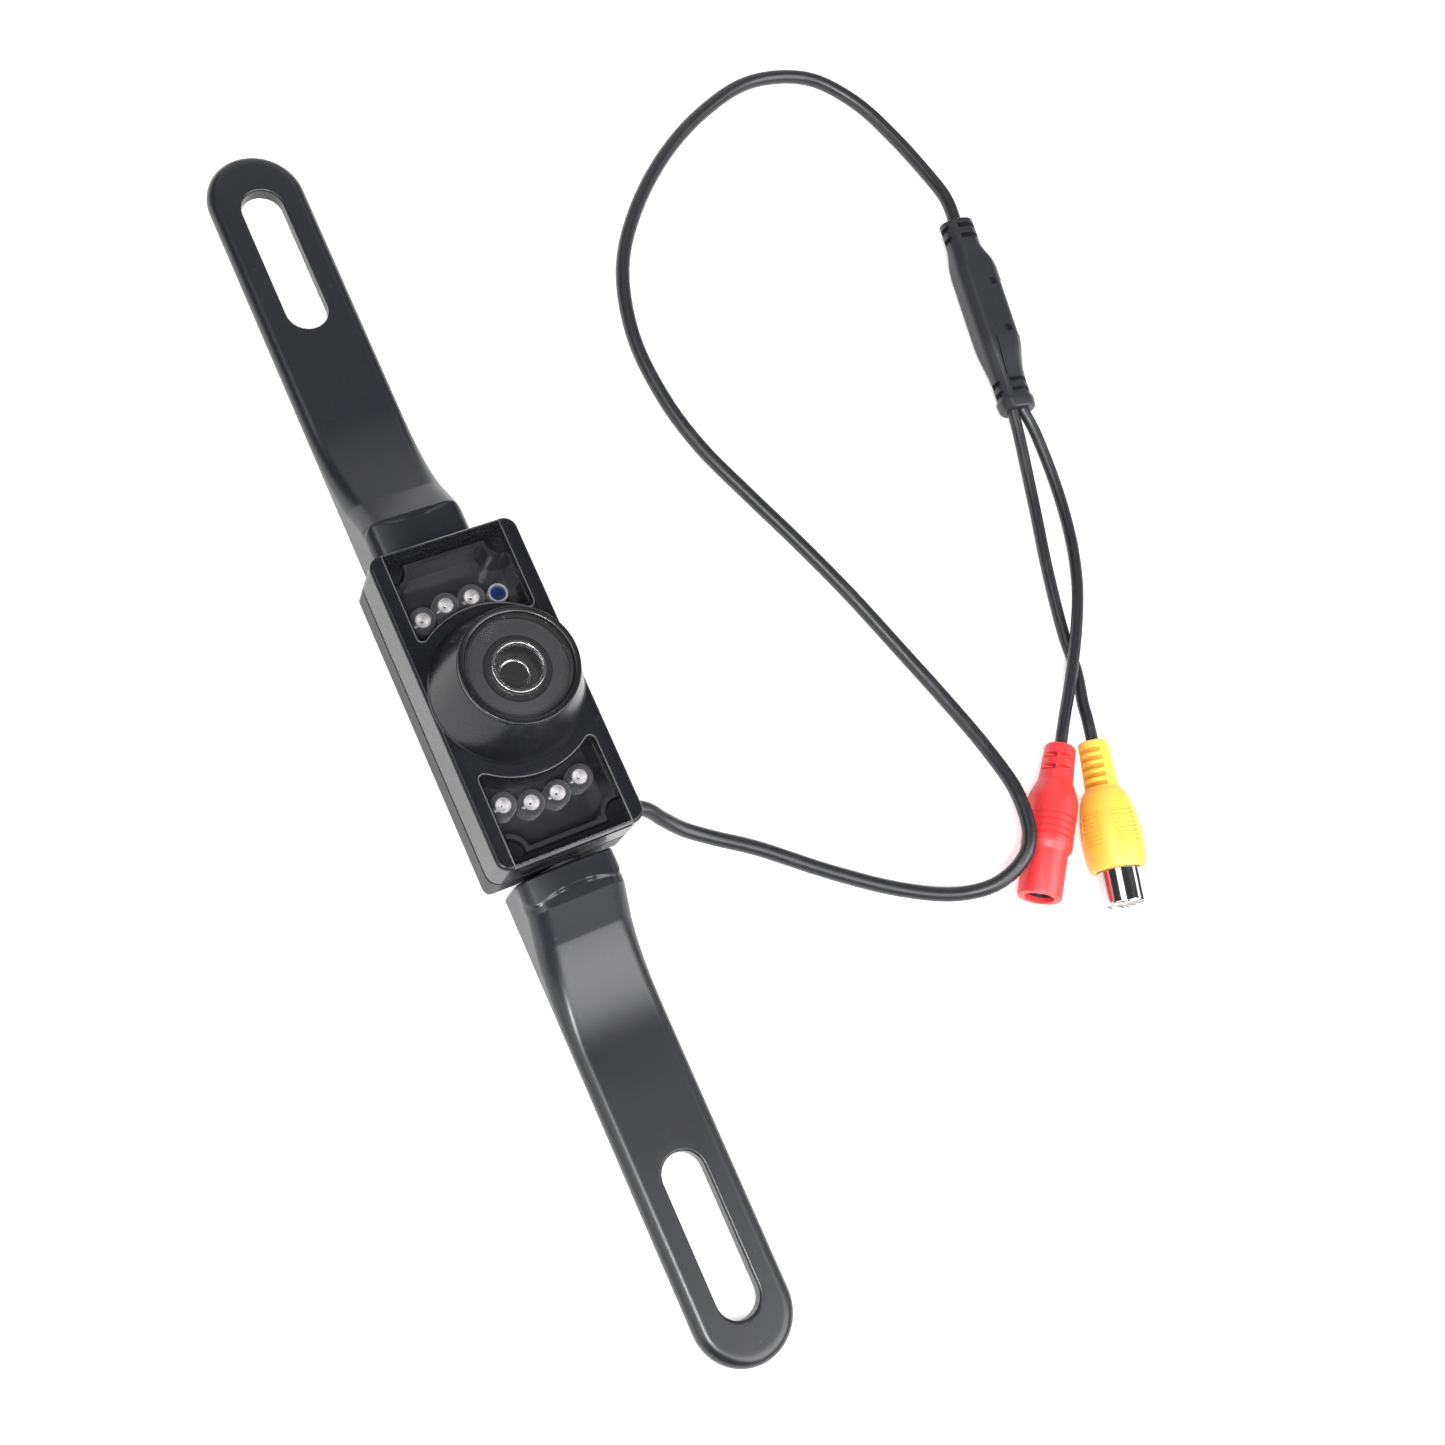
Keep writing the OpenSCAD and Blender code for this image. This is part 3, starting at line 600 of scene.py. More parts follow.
def sweep(line, radius):
    rings = []
    last = len(line) - 1
    for i, here in enumerate(line):
        ahead = (line[min(i + 1, last)] - line[max(i - 1, 0)]).normalized()
        side = ahead.cross(UP).normalized()
        top = side.cross(ahead)
        turns = [2 * math.pi * k / CORD_SIDES for k in range(CORD_SIDES)]
        rings.append([here + radius * (math.cos(t) * side + math.sin(t) * top) for t in turns])
    return loft(rings)


def lay_cord(name, route, radius, steps, node):
    """A cord along the route, with its ends pushed a little into what holds them."""
    line = smooth_route(route, radius, steps)
    line.insert(0, line[0] + (line[0] - line[1]).normalized() * HELD_LENGTH)
    line.append(line[-1] + (line[-1] - line[-2]).normalized() * HELD_LENGTH)
    piece = solid(name, sweep(line, radius))
    piece.data.materials.append(finishes["cord_black"])
    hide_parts(node)
    length = sum((b - a).length for a, b in zip(line, line[1:]))
    return piece, [p * MM for p in line], length * MM


main_cord, main_path, main_length = lay_cord("main_cord", MAIN_ROUTE, MAIN_CORD_RADIUS, 5,
                                             "main_cable")
video_cord, video_path, video_length = lay_cord("video_cord", VIDEO_ROUTE, LEAD_RADIUS, 8,
                                                "video_lead")
power_cord, power_path, power_length = lay_cord("power_cord", POWER_ROUTE, LEAD_RADIUS, 8,
                                                "power_lead")
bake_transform(main_cord)
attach(video_cord, "bar")
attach(power_cord, "bar")


# ---------------------------------------------------------------- mounting bar

BAR_MIDDLE = 114.3  # from the middle of the bar to the centre of a round end
BAR_HALF_WIDTH = 9.5
BAR_THICKNESS = 3.1
BAR_EDGE = 2.2
EAR_FACE = 31.2
RAMP_FOOT = 63
CREASE = 43.5
CREASE_HEIGHT = 8.6
RAMP_RADIUS = ((RAMP_FOOT - CREASE) ** 2 + (CREASE_HEIGHT - BAR_THICKNESS) ** 2) / (
    2 * (CREASE_HEIGHT - BAR_THICKNESS))
SLOPE = 0.806
SHOULDER_HEIGHT = 13.4
BOSS_HEIGHT = 14.1
BOSS_CROWN = 60
SLOT_LENGTH = 30.8
SLOT_WIDTH = 8.2
SLOT_MIDDLE = 100.1  # from the middle of the bar to the middle of a slot


def edge_drop(beyond, radius):
    """How far a rounded edge has fallen, at that distance past the start of its curve."""
    t = min(max(beyond, 0), radius)
    return radius - math.sqrt(radius ** 2 - t ** 2)


def arm_top(x, y, outward, boss_end):
    """Height of an arm's top. outward moves the ear's lines along the arm."""
    if x > BAR_MIDDLE:
        y = math.hypot(x - BAR_MIDDLE, y)
    along = x - outward
    if along > RAMP_FOOT:
        plane = BAR_THICKNESS
    elif along > CREASE:
        plane = BAR_THICKNESS + RAMP_RADIUS - math.sqrt(
            RAMP_RADIUS ** 2 - (RAMP_FOOT - along) ** 2)
    else:
        plane = min(CREASE_HEIGHT + SLOPE * (CREASE - along), SHOULDER_HEIGHT)
    rounding = BAR_EDGE + 1.6 * smoothstep((RAMP_FOOT - along) / (RAMP_FOOT - CREASE))
    top = plane - edge_drop(abs(y) - BAR_HALF_WIDTH + rounding, rounding)
    boss = BOSS_HEIGHT - y * y / BOSS_CROWN - edge_drop(abs(y) - BAR_HALF_WIDTH + 2, 2)
    reach = boss_end + 0.02 * y * y - 0.6 * max(abs(y) - 7.6, 0) ** 2
    cover = smoothstep((reach - x) / 0.4 + 0.5)
    return max(top, top + (boss - top) * cover)


def arm(side, outward, boss_end):
    """One arm of the bar, from the ear's inner face to the round end."""
    fine = [EAR_FACE + 0.35 + 0.2 * i for i in range(50)]
    crease = CREASE + outward
    stations = fine + [crease - 0.5, crease - 0.06, crease + 0.06, crease + 0.5]
    stations += [crease + 1 + i for i in range(int(RAMP_FOOT - CREASE) + 2)]
    stations += [70 + 4 * i for i in range(11)]
    stations += [BAR_MIDDLE + BAR_HALF_WIDTH * math.sin(math.radians(a))
                 for a in range(0, 91, 5)]
    across = [math.sin(math.radians(a)) for a in range(-90, 91, 4)] + [1]
    foot = 0.3
    rings = []
    for x in [EAR_FACE] + sorted(set(round(s, 3) for s in stations)):
        half = BAR_HALF_WIDTH
        if x > BAR_MIDDLE:
            half = math.sqrt(max(half ** 2 - (x - BAR_MIDDLE) ** 2, 0))
        half = max(half - (foot if x == EAR_FACE else 0), 0)
        low = foot if x == EAR_FACE else 0
        ring = [(side * x, half * f, arm_top(x, half * f, outward, boss_end) - low)
                for f in across]
        inner = max(half - foot, 0)
        ring += [(side * x, half, foot + low), (side * x, inner, low),
                 (side * x, -inner, low), (side * x, -half, foot + low)]
        rings.append(ring)
    return loft(rings, first_cap=True, last_cap=False)


def slot_outline():
    reach = (SLOT_LENGTH - SLOT_WIDTH) / 2
    return arc((reach, 0), SLOT_WIDTH / 2, -90, 90, 16) + \
        arc((-reach, 0), SLOT_WIDTH / 2, 90, 270, 16)


def slot_cutter(side):
    """A slot's hole with a rounded rim on its upper face."""
    rim = 0.5
    levels = [(-1, -1.2), (0, -0.2), (0.2, 0)]
    for i in range(5):
        t = math.pi / 8 * i
        levels.append((BAR_THICKNESS - rim + rim * math.sin(t), -rim * (1 - math.cos(t))))
    levels.append((BAR_THICKNESS + 1, -rim - 0.6))
    return moved(slab(slot_outline(), levels), at(side * SLOT_MIDDLE, 0, 0))


def make_mounting_bar():
    bar = solid("mounting_bar_moulding", arm(1, 0, 35.1))
    weld(bar, arm(-1, 2.2, 38.5))
    weld(bar, block(-EAR_FACE - 1, EAR_FACE + 1, -5, 5, 0, 1.8, 0.3))
    bore = moved(lathe([(0, 0), (1.5, 0), (1.5, 9), (0, 9)], 32),
                 at(EAR_FACE - 1, 0, 8.5) @ LENGTHWISE)
    carve(bar, slot_cutter(1), slot_cutter(-1), bore, moved(bore, MIRROR_X))
    even_shading(bar)
    fit(bar, "bar", "bar_black", "mounting_bar")


make_mounting_bar()


# ---------------------------------------------------------------- covers and windows

HEAD_LENGTH = 60.4
HEAD_WIDTH = 28.2
HEAD_END = HEAD_LENGTH / 2
FRONT_BASE = 12.8
FRONT_FACE = 23.1
PLATE_BACK = 20.9
FRONT_EDGE = 0.7
CORNER = 2.4
WINDOW_HALF = 11.4
WINDOW_ARC = 15.9
RIM_WIDTH = 0.26
BOSS_PLACES = [(sx * 27.3, sy * 10.7) for sx in (1, -1) for sy in (1, -1)]


def window_outline(clearance, end):
    """A window's outline on the +X side, counter-clockwise."""
    half = WINDOW_HALF - clearance
    radius = WINDOW_ARC + clearance
    corner = 1.2
    cy = half - corner
    cx = math.sqrt((radius + corner) ** 2 - cy ** 2)
    bearing = math.degrees(math.atan2(cy, cx))
    upper = arc((cx, cy), corner, 90, bearing + 180, 8)
    inner = arc((0, 0), radius, bearing, -bearing, 24)[1:-1]
    lower = arc((cx, -cy), corner, 180 - bearing, 270, 8)
    return [(end, -half), (end, half)] + upper + inner + lower


def end_rounding(z):
    """How far the head's long outline is drawn in near its front face."""
    rise = max(z - FRONT_FACE + FRONT_EDGE, 0)
    return FRONT_EDGE - math.sqrt(max(FRONT_EDGE ** 2 - rise ** 2, 0))


def make_front_cover():
    turns = [math.pi / 2 * i / 5 for i in range(6)]
    rings = []
    plan = rounded_rect(HEAD_LENGTH, HEAD_WIDTH, CORNER)
    hollow = rounded_rect(HEAD_LENGTH - 4, HEAD_WIDTH - 4, 1.5)
    for z in (PLATE_BACK, FRONT_BASE):
        rings.append([(x, y, z) for x, y in hollow])
    for z, depth in ((FRONT_BASE, 0.2), (FRONT_BASE + 0.2, 0)):
        rings.append([(x, y, z) for x, y in inset(plan, depth)])
    for t in turns:
        z = FRONT_FACE - FRONT_EDGE * (1 - math.sin(t))
        rings.append([(x, y, z) for x, y in inset(plan, FRONT_EDGE * (1 - math.cos(t)))])
    cover = solid("front_cover_moulding", loft(rings))
    post = lathe([(0, FRONT_BASE), (2.6, FRONT_BASE), (2.6, 20.2), (2.2, 20.6),
                  (1.4, PLATE_BACK + 0.2), (0, PLATE_BACK + 0.2)], 48)
    weld(cover, *[moved(post, at(x, y, 0)) for x, y in BOSS_PLACES])
    levels = [(PLATE_BACK - 0.5, 0), (FRONT_FACE - 0.12, 0), (FRONT_FACE, -0.12),
              (FRONT_FACE + 0.5, -0.62)]
    opening = slab(window_outline(0, HEAD_END + 1), levels)
    hood_hole = lathe([(0, 19), (9, 19), (9, 25), (0, 25)], 96)
    screw_hole = lathe([(0, 11), (1, 11), (1, 19), (0, 19)], 24)
    carve(cover, opening, moved(opening, MIRROR_X), hood_hole,
          *[moved(screw_hole, at(x, y, 0)) for x, y in BOSS_PLACES])
    even_shading(cover)
    fit(cover, "head", "cover_front", "front_cover")


def rounded_end(shape):
    """The shape kept inside the head's rounded end."""
    points, faces = shape
    return [(min(x, HEAD_END - end_rounding(z)), y, z) for x, y, z in points], faces


def make_window(name, node, place):
    top = FRONT_FACE - 0.02
    levels = [(PLATE_BACK, 0.15), (PLATE_BACK + 0.15, 0), (FRONT_FACE - FRONT_EDGE, 0),
              (22.65, 0), (22.85, 0), (top - 0.04, 0), (top, 0.04)]
    pane = slab(window_outline(RIM_WIDTH + 0.06, HEAD_END - RIM_WIDTH - 0.02), levels)
    window = solid(name, moved(rounded_end(pane), place), 25)
    fit(window, "head", "window_clear", node)
    # A light grey ring just inside each window opening: a painted glint along the window's edge.
    outer = window_outline(0.04, HEAD_END)
    rings = []
    for z, depth in ((22.2, 0), (22.8, 0), (top - 0.08, 0), (top + 0.01, 0.1),
                     (top + 0.01, RIM_WIDTH - 0.1), (top - 0.08, RIM_WIDTH),
                     (22.8, RIM_WIDTH), (22.2, RIM_WIDTH)):
        rings.append([(x, y, z) for x, y in inset(outer, depth)])
    rim = loft(rings + rings[:1], first_cap=False, last_cap=False)
    fit(solid(name + "_rim", moved(rounded_end(rim), place), 50), "head", "window_edge")


make_front_cover()
make_window("right_window_pane", "right_window", Matrix.Identity(4))
make_window("left_window_pane", "left_window", MIRROR_X)


# ---------------------------------------------------------------- infrared lights

LIGHT_COUNT = 7
LIGHT_CIRCLE = 19.6
LIGHT_PITCH = 14.8
LIGHT_BASE = 11
LIGHT_RADIUS = 2.42
LIGHT_HEIGHT = 8.6


def light_place(side, k):
    bearing = math.radians((k - 1.5) * LIGHT_PITCH)
    return at(side * LIGHT_CIRCLE * math.cos(bearing), LIGHT_CIRCLE * math.sin(bearing),
              LIGHT_BASE)


def light_leads():
    return joined(*[block(-0.22, 0.22, s * 1.27 - 0.22, s * 1.27 + 0.22, -2, 1.2, 0.05)
                    for s in (1, -1)])


def make_light(number):
    """A clear light: domed body, metal cup with its chip, and two leads."""
    side = 1 if number <= 4 else -1
    place = light_place(side, (number - 1) % 4)
    node = "ir_led_%d" % number
    straight = LIGHT_HEIGHT - LIGHT_RADIUS
    dome = arc((0, straight), LIGHT_RADIUS, 0, 90, 10)
    body = [(0, 0), (LIGHT_RADIUS - 0.1, 0), (LIGHT_RADIUS, 0.1)] + dome[:-1]
    body.append((0, LIGHT_HEIGHT))
    lens = solid(node + "_lens", moved(lathe(body, 48), place))
    fit(lens, "head", "led_clear", node)
    cup = lathe([(0, 5.3), (0.55, 5.3), (1.25, 6.5), (1.4, 6.5), (1.4, 6.2), (0.85, 4.8),
                 (0.85, 3.6), (0, 3.6)], 40)
    anvil = block(-0.3, 0.3, -1.5, 0.75, 1, 4.4, 0.08)
    post = block(-0.3, 0.3, 1.05, 1.6, 1, 6, 0.08)
    frame_piece = solid(node + "_frame", moved(joined(cup, anvil, post, light_leads()), place))
    fit(frame_piece, "head", "light_metal")
    chip = block(-0.2, 0.2, -0.2, 0.2, 5.32, 5.5, 0.04)
    fit(solid(node + "_chip", moved(chip, place)), "head", "sensor_chip")


def make_light_sensor():
    """The light sensor: a clear-rimmed can with a dark blue face."""
    place = at(0, -0.5, 0) @ light_place(-1, 3)
    can = [(0, 0), (2.3, 0), (LIGHT_RADIUS, 0.12), (LIGHT_RADIUS, 1), (1.9, 1.3), (1.9, 7.9),
           (1.75, 8.1), (1.5, 8.1), (1.4, 7.95), (1.4, 7.6), (0, 7.6)]
    rim = solid("light_sensor_can", moved(joined(lathe(can, 48), light_leads()), place))
    fit(rim, "head", "light_metal", "light_sensor")
    face = lathe([(0, 7.6), (1.38, 7.6), (1.38, 7.75), (1, 7.87), (0, 7.9)], 48)
    fit(solid("light_sensor_face", moved(face, place)), "head", "sensor_blue")


for light in range(1, LIGHT_COUNT + 1):
    make_light(light)
make_light_sensor()


# ---------------------------------------------------------------- lens

GLASS_TOP = 36.2
GLASS_CURVE = 60
FRONT_LENS_TOP = 32.6
FRONT_LENS_CURVE = 10
REAR_LENS_TOP = 29.7
REAR_LENS_CURVE = 6.5
LENS_STEPS = 128


def dome_height(top, curve, r):
    """Height of a domed glass at a distance from its axis."""
    return top - curve + math.sqrt(curve ** 2 - r * r)


def make_turned(name, profile, finish, *nodes, angle=SHARP_ANGLE):
    """A piece of the lens, turned about its axis."""
    fit(solid(name, lathe(profile, LENS_STEPS), angle), "head", finish, *nodes)


def make_lens():
    hood = soften([(7.8, 21.1), (8.95, 21.1), (8.95, 23.1), (14, 23.1), (14, 23.6),
                   (13.7, 24), (10.6, 35), (9.5, 35), (9.5, 32.6), (10, 24.6), (7.8, 24.1)],
                  0.25, closed=True)
    make_turned("lens_hood_shell", hood, "cover_front", "lens_hood")
    bezel = soften([(9.45, 35), (10.6, 35), (10.6, 36), (9.45, 35.8)], 0.3, closed=True)
    make_turned("lens_bezel_ring", bezel, "lens_black", "lens_bezel")
    glass = [(0, 35.05), (9.3, 35.05), (9.4, 35.12), (9.4, 35.35), (9.3, 35.47)]
    glass += [(r, dome_height(GLASS_TOP, GLASS_CURVE, r)) for r in (8.5, 7, 5.5, 4, 2, 0)]
    make_turned("cover_glass_pane", glass, "lens_glass", "cover_glass")
    seal = soften([(8.8, 34), (9.4, 34), (9.4, 35.05), (8.8, 35.05)], 0.1, closed=True)
    make_turned("glass_seal_ring", seal, "seal_rubber", "glass_seal")
    # The baffle rings, the cone in the front ring and the inner flange are grey: a painted
    # reflection on black plastic.
    grooves = [(9.4, 31), (9.4, 34), (8.75, 34)]
    for k in range(11):
        r = 8.7 - k * 0.25
        z = 33.95 - 0.02 * k
        grooves += [(r, z), (r - 0.17, z), (r - 0.2, z - 0.14)]
    grooves += [(6, 33.6), (6, 31)]
    make_turned("lens_baffle_rings", grooves, "lens_grey", "lens_baffle", angle=20)
    barrel = [(2.4, 11.2), (5.9, 11.2), (5.9, 24.5), (6.6, 24.6), (6.6, 26.4), (5.9, 26.5),
              (5.9, 33.9), (5.7, 34.1), (4.75, 34.1), (4.75, 30.1), (3.3, 30.1), (3.3, 27.6),
              (2.4, 27.6)]
    make_turned("lens_barrel_tube", barrel, "lens_black", "lens_barrel")
    ring = soften([(3.9, 34.1), (4.95, 34.1), (4.9, 34.6), (4.65, 34.95), (4.2, 34.95),
                   (3.9, 34.5)], 0.12, closed=True)
    make_turned("front_ring_turned", ring, "ring_metal", "front_ring")
    cone = [(3.95, 34.05), (4.7, 34.05), (4.7, 32.75), (4.6, 32.75)]
    make_turned("front_ring_cone", cone, "lens_grey")
    inner = soften([(2.3, 30.1), (3.3, 30.1), (3.3, 30.4), (2.8, 30.5), (2.4, 30.4)], 0.1,
                   closed=True)
    make_turned("inner_ring_turned", inner, "ring_metal", "inner_ring")
    flange = [(3.32, 30.12), (4.7, 30.12), (4.7, 30.48), (3.32, 30.48)]
    make_turned("inner_ring_flange", flange, "lens_grey")
    iris = soften([(1, 27.6), (3.25, 27.6), (3.25, 27.9), (1.1, 27.9)], 0.05, closed=True)
    # The iris is painted lighter to stand in for light that hardly reaches it.
    make_turned("iris_disc_blade", iris, "iris_brown", "iris_disc")
    front = [(0, 30.5), (4.6, 30.5), (4.65, 30.55), (4.65, 31.4)]
    front += [(r, dome_height(FRONT_LENS_TOP, FRONT_LENS_CURVE, r))
              for r in (4.6, 4, 3.2, 2.4, 1.6, 0.8, 0)]
    make_turned("front_lens_element", front, "lens_glass", "front_lens")
    rear = [(0, 27.9), (3.2, 27.9), (3.2, 28.8)]
    rear += [(r, dome_height(REAR_LENS_TOP, REAR_LENS_CURVE, r))
             for r in (3.15, 2.6, 2, 1.4, 0.7, 0)]
    make_turned("rear_lens_element", rear, "lens_glass", "rear_lens")


make_lens()


# ---------------------------------------------------------------- grommet

GROMMET_X = 25.5
GROMMET_Z = 8
ALONG_Y = Matrix.Rotation(-math.pi / 2, 4, "X")  # lays a turned shape's axis along Y


def make_grommet():
    boot = [(MAIN_CORD_RADIUS, 12.4), (2, 12.4), (2, 14.1), (2.6, 14.1), (2.6, 14.7), (2.1, 14.8),
            (2.05, 15.2), (1.85, 15.25), (1.85, 15.4), (1.95, 15.45), (1.9, 15.8),
            (MAIN_CORD_RADIUS, 15.8)]
    shape = moved(lathe(soften(boot, 0.06, closed=True, parts=2), 48),
                  at(GROMMET_X, 0, GROMMET_Z) @ ALONG_Y)
    fit(solid("cable_grommet_boot", shape), "head", "seal_rubber", "cable_grommet")


make_grommet()


# ---------------------------------------------------------------- screws

def screw_head(radius, thickness, shank_radius, shank_length):
    """A pan head screw, its top at height 0, looking up."""
    dome = [(radius, -thickness + 0.15), (radius - 0.05, -thickness + 0.5),
            (radius * 0.85, -0.15), (radius * 0.6, 0), (0, 0)]
    return lathe([(0, -shank_length), (shank_radius, -shank_length),
                  (shank_radius, -thickness), (radius, -thickness)] + dome, 40)


def make_case_screws():
    upside_down = Matrix.Rotation(math.pi, 4, "X")
    heads = []
    crosses = []
    for number, (x, y) in enumerate(BOSS_PLACES):
        place = at(x, y, 3.3, 27 * number) @ upside_down
        heads.append(moved(screw_head(radius=1.85, thickness=1.4, shank_radius=1,
                                      shank_length=14.8), place))
        for turn in (0, 90):
            bar = block(-1.05, 1.05, -0.2, 0.2, -0.8, 0.5, 0.05)
            crosses.append(moved(bar, place @ at(0, 0, 0, turn)))
    screws = solid("case_screws_turned", joined(*heads))
    carve(screws, *crosses[0::2])
    carve(screws, *crosses[1::2])
    fit(screws, "head", "screw_steel", "case_screws")


make_case_screws()


# ---------------------------------------------------------------- inline housing

INLINE_PLACE = at(-69.4, 141, 4, -9.4)


def section(half_width, half_height, bevel):
    """An upright bevelled outline with rounded corners, as (across, up)."""
    w, h = half_width, half_height
    bevel = min(bevel, w * 0.8, h * 0.8)
    corners = [(w, -h + bevel), (w, h - bevel), (w - bevel, h), (-w + bevel, h),
               (-w, h - bevel), (-w, -h + bevel), (-w + bevel, -h), (w - bevel, -h)]
    return soften(corners, 0.9, closed=True, parts=5)


def make_inline_housing():
    stations = [
        (0, 3.4, 2.5), (0.3, 3.8, 2.85), (6, 3.8, 3), (7, 3.9, 3.12), (8.5, 4.12, 3.4),
        (10.5, 4.4, 3.7), (12.5, 4.5, 3.8), (29, 4.5, 3.8), (31.5, 4.35, 3.7),
        (34, 4.1, 3.45), (36.5, 3.88, 3.15), (38.4, 3.8, 3), (42.4, 3.8, 2.95),
        (42.6, 3.85, 3), (43, 4.05, 3.2), (43.4, 4.08, 3.25), (45.1, 3.95, 3.1),
        (45.4, 3.7, 2.9)]
    rings = []
    for x, w, h in stations:
        fuller = 0.4 * smoothstep((x - 7) / 5) * smoothstep((36 - x) / 7)  # towards +Y
        rings.append([(x, across + fuller, up) for across, up in section(w + fuller, h, 1.9)])
    housing = solid("inline_housing_moulding", moved(loft(rings), INLINE_PLACE), 40)
    cuts = [block(13, 29, -2.6, 2.6, -1.4, 1.4, 0.2), block(15.5, 29, 4.3, 6, 0.8, 2.9, 0.1)]
    for x in (1.4, 3.9, 38.7, 41):
        for over in (Matrix.Identity(4), Matrix.Rotation(math.pi, 4, "X")):
            cuts.append(moved(block(x, x + 1.15, -1.4, 6, 0.9, 5, 0.1), over))
            cuts.append(moved(block(x, x + 1.15, -6, -2.7, -0.7, 1.8, 0.1), over))
    dimple = lathe([(0, 2.9), (0.6, 2.95), (0.8, 3.4), (0.95, 4.4), (0, 4.4)], 24)
    cuts += [moved(dimple, at(16.4, 1.8, 0)), moved(dimple, at(27.6, 1.8, 0))]
    cuts.append(block(29, 38, -1.7, -1.5, 2.6, 4.5, 0.02))
    carve(housing, *[moved(c, INLINE_PLACE) for c in cuts])
    even_shading(housing)
    return fit(housing, "bar", "inline_black", "inline_housing")


inline_housing = make_inline_housing()


# ---------------------------------------------------------------- power jack

POWER_PLACE = at(44.8, 105.8, 5.1, -37) @ LENGTHWISE


def make_power_jack():
    body = [(0, 0), (2.7, 0), (3.05, 0.35), (3.15, 1), (3.5, 7.8), (3.9, 8.6), (4.6, 10.4),
            (4.95, 11.4), (5.1, 12.4)]
    for z in (15.4, 16.8, 18.2, 19.6):
        body += [(5.1, z), (4.82, z + 0.12), (4.82, z + 0.38), (5.1, z + 0.5)]
    body += [(5.1, 21.4), (4.95, 21.8), (4.5, 22.5), (4.4, 23), (4.38, 31.5), (4.2, 31.9),
             (3.9, 32), (3.1, 32), (2.85, 31.75), (2.85, 22), (0, 22)]
    jack = solid("power_jack_moulding", moved(lathe(body, 96), POWER_PLACE), 40)
    cuts = []
    for z in (2.4, 5):
        for turn in (24, 204):
            for y in (0.4, -3.4):
                cuts.append(moved(block(1.6, 5, y, y + 3, z, z + 1.05, 0.12),
                                  POWER_PLACE @ at(0, 0, 0, turn)))
    carve(jack, *cuts)
    fit(jack, "bar", "jack_red", "power_jack_body")
    sleeve = [(1.02, 22.02), (2.83, 22.02), (2.83, 30.9), (2.6, 31), (2.6, 23.6), (1.02, 23.6)]
    fit(solid("power_jack_sleeve", moved(lathe(sleeve, 64), POWER_PLACE)), "bar",
        "insulator_black", "power_jack_insulator")
    pin = [(0, 22), (1, 22), (1, 30.3), (0.85, 30.8), (0.5, 31), (0, 31)]
    fit(solid("power_jack_pin_turned", moved(lathe(pin, 40), POWER_PLACE)), "bar",
        "contact_nickel", "power_jack_pin")
    return jack


power_jack = make_power_jack()


# ---------------------------------------------------------------- video jack

VIDEO_PLACE = at(46.5, 112.3, 6.2, -16.9) @ LENGTHWISE


def make_video_jack():
    body = [(0, 0), (2.7, 0), (3.05, 0.35), (3.4, 9.4), (3.6, 10), (4.3, 10.8), (4.9, 12.2),
            (5.3, 13.6), (5.8, 16.4), (6.05, 19), (6.1, 21), (6, 23.2), (5.75, 25.2),
            (5.5, 26.1), (5.25, 26.4), (4.3, 26.4), (4.15, 26.2), (4.08, 12), (0, 12)]
    jack = solid("video_jack_moulding",
                 moved(lathe(soften(body, 0.25, parts=3), 96), VIDEO_PLACE), 40)
    cuts = []
    for k in range(5):
        z = 1.7 + 1.75 * k
        for turn in (68, 248):
            cuts.append(moved(block(1.5, 5, -3, 3, z, z + 0.9, 0.15),
                              VIDEO_PLACE @ at(0, 0, 0, turn)))
    for turn in (72, 178, 252, 358):
        for k in range(8):
            z = 15 + 0.9 * k
            groove = wedge(5.8 - 0.0145 * (21 - z) ** 2, 8, 23, z, z + 0.42)
            cuts.append(moved(groove, VIDEO_PLACE @ at(0, 0, 0, turn)))
    carve(jack, *cuts)
    fit(jack, "bar", "jack_yellow", "video_jack_body")
    shell = [(4.05, 12), (4.05, 26.2), (4.05, 26.3), (4.15, 26.4), (4.15, 26.55), (4.15, 32.8),
             (4.15, 32.95), (4.12, 33.1), (4.05, 33.25), (3.95, 33.35), (3.85, 33.35),
             (3.75, 33.25), (3.7, 33.1), (3.7, 32.9), (3.7, 12.2), (3.7, 12)]
    outer = solid("video_jack_shell_turned", moved(lathe(shell, 96), VIDEO_PLACE), 50)
    fit(even_shading(outer), "bar", "jack_chrome", "video_jack_shell")
    filling = [(1.95, 12), (3.68, 12), (3.68, 32.3), (3.5, 32.5), (2.4, 32.6), (2.15, 32.5),
               (1.95, 32.2)]
    fit(solid("video_jack_insulator_moulding", moved(lathe(filling, 64), VIDEO_PLACE)), "bar",
        "insulator_ivory", "video_jack_insulator")
    contact = [(1.6, 12.5), (1.88, 12.5), (1.88, 32), (1.8, 32.2), (1.65, 32.2), (1.6, 32)]
    fit(solid("video_jack_contact_turned", moved(lathe(contact, 48), VIDEO_PLACE)), "bar",
        "contact_brass", "video_jack_contact")
    return jack


video_jack = make_video_jack()


# ---------------------------------------------------------------- plain CAD nodes

NODE_FINISHES = {
    "screw_steel": ["pivot_screws", "board_screws"],
    "washer_rubber": ["friction_washers"],
    "board_green": ["filter_board", "left_light_board", "right_light_board", "main_board"],
    "contact_nickel": ["power_jack_contact"],
    "cover_rear": ["rear_cover"],
    "seal_rubber": ["housing_gasket"],
    "tray_dark": ["left_tray", "right_tray"],
    "insulator_ivory": ["board_connector"],
    "sensor_chip": ["image_sensor"],
    # the trays take the dark grey with the painted reflection
    "lens_black": ["lens_holder"],
    "filter_glass": ["ir_cut_filter"],
    "cord_black": ["cable_tail"],
}

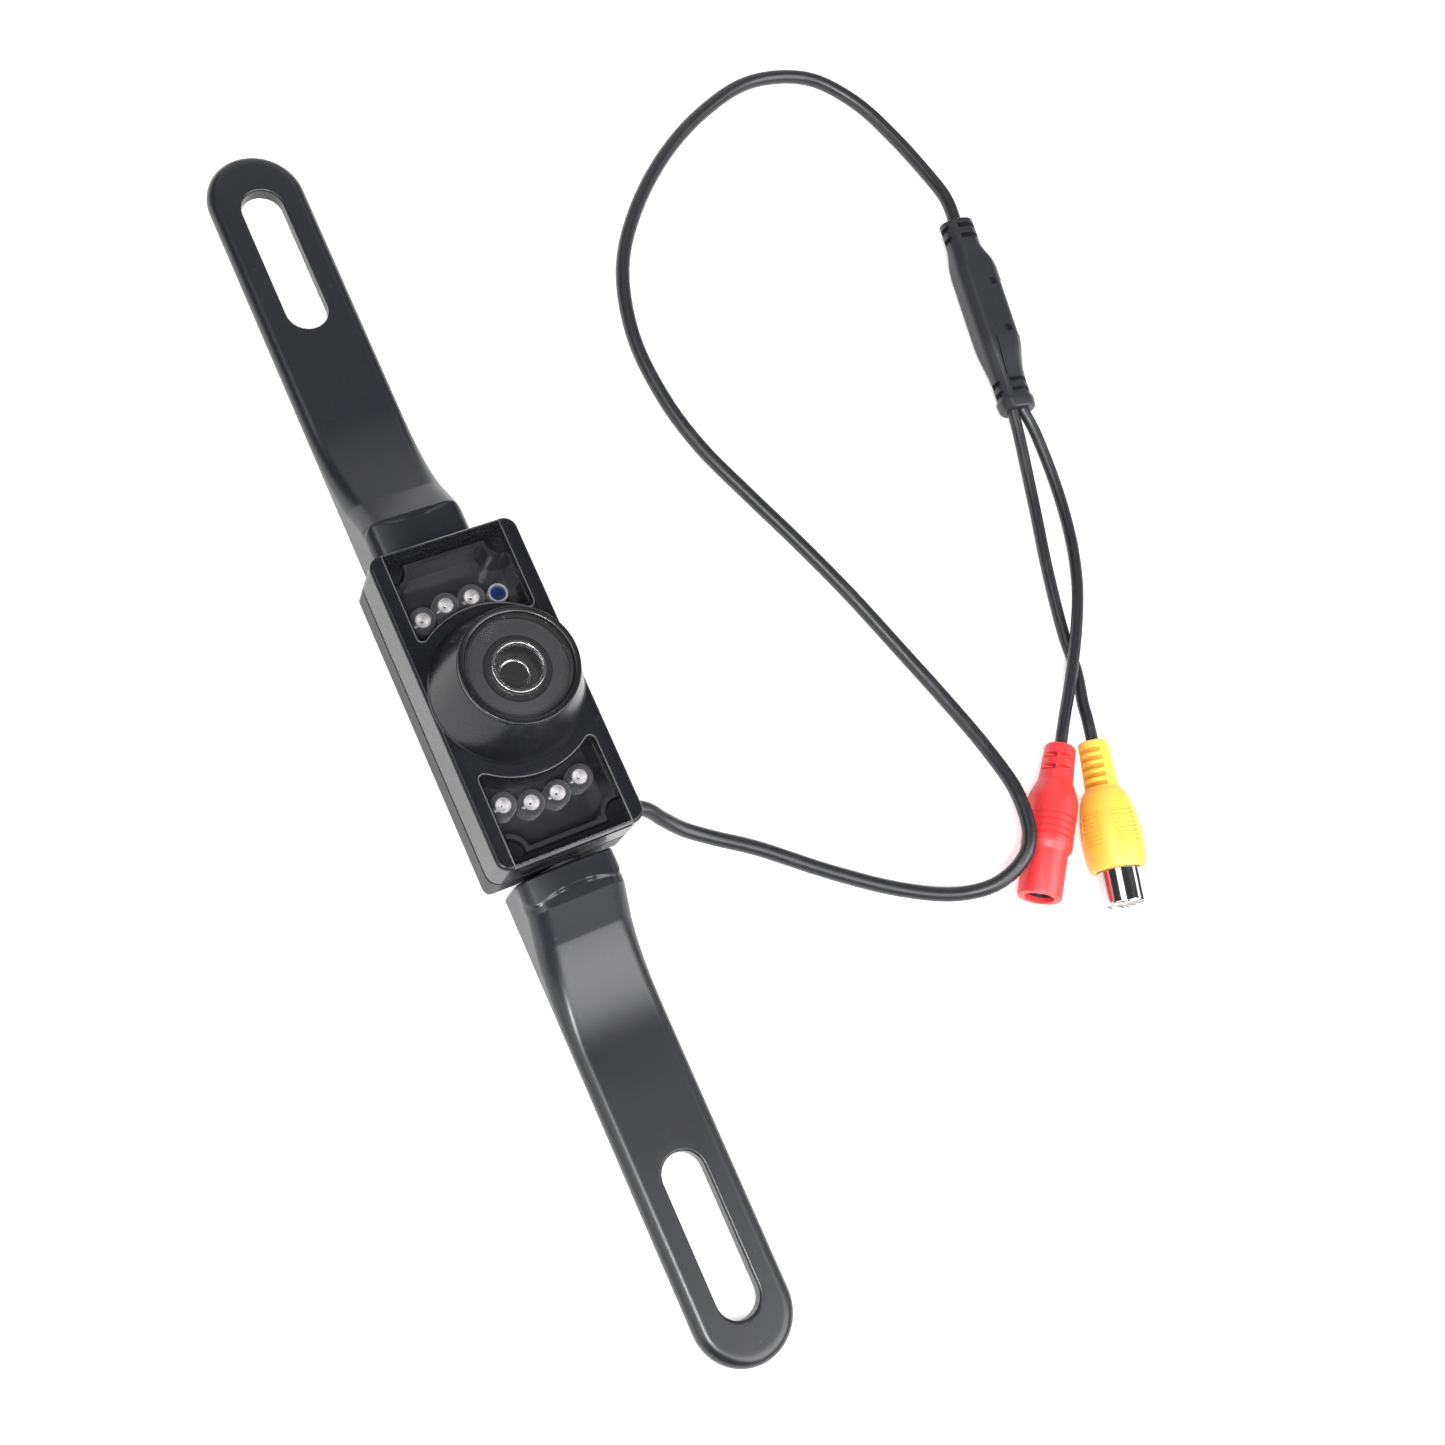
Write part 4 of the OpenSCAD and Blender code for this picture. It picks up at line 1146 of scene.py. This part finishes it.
for finish, nodes in NODE_FINISHES.items():
    for node in nodes:
        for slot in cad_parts[node].material_slots:
            slot.material = finishes[finish]


# ---------------------------------------------------------------- studio

def make_floor():
    f = Finish("studio_floor")
    tone = f.noise(6, 2)
    f.surface(Base_Color=f.mix(tone, (0.56, 0.56, 0.565), (0.58, 0.58, 0.58)),
              Roughness=0.6 + tone * 0.05, Emission_Color=(1, 1, 1), Emission_Strength=0.56)
    half = 3000
    low = -0.05
    floor = solid("studio_floor", ([(-half, -half, low), (half, -half, low),
                                    (half, half, low), (-half, half, low)], [(0, 1, 2, 3)]))
    floor.data.materials.append(f.material)


def add_softbox(name, direction, distance, size, power, target=(0, 0.03, 0)):
    lamp = bpy.data.lights.new(name, "AREA")
    lamp.shape = "RECTANGLE"
    lamp.size = size[0]
    lamp.size_y = size[1]
    lamp.energy = power
    box = bpy.data.objects.new(name, lamp)
    bpy.context.scene.collection.objects.link(box)
    way = Vector(direction).normalized()
    box.matrix_world = Matrix.LocRotScale(Vector(target) + way * distance,
                                          (-way).to_track_quat("-Z", "Y"), None)


def set_world(strength):
    world = bpy.data.worlds.new("studio_world")
    world.use_nodes = True
    shade = world.node_tree.nodes["Background"]
    shade.inputs["Color"].default_value = (0.88, 0.92, 1, 1)
    shade.inputs["Strength"].default_value = strength
    bpy.context.scene.world = world


make_floor()
set_world(0.07)
add_softbox("key_softbox", (0.6, 0.35, 0.78), 1.9, (1.7, 1.56), 62)
add_softbox("front_softbox", (0.15, -0.9, 0.6), 1.0, (0.5, 1.0), 4)
add_softbox("left_softbox", (-0.86, 0.3, 0.5), 1.4, (1.4, 1.2), 5)
add_softbox("near_softbox", (-0.3, -0.45, 0.84), 1.2, (0.26, 0.5), 2.6, (0.07, 0.1, 0))
add_softbox("far_softbox", (0.1, 0.86, 0.5), 1.2, (0.8, 0.3), 2, (0.07, 0.1, 0))
add_softbox("glint_lamp", (0.3, -0.35, 0.9), 0.8, (0.14, 0.14), 6)
bpy.context.scene.view_settings.view_transform = "Standard"
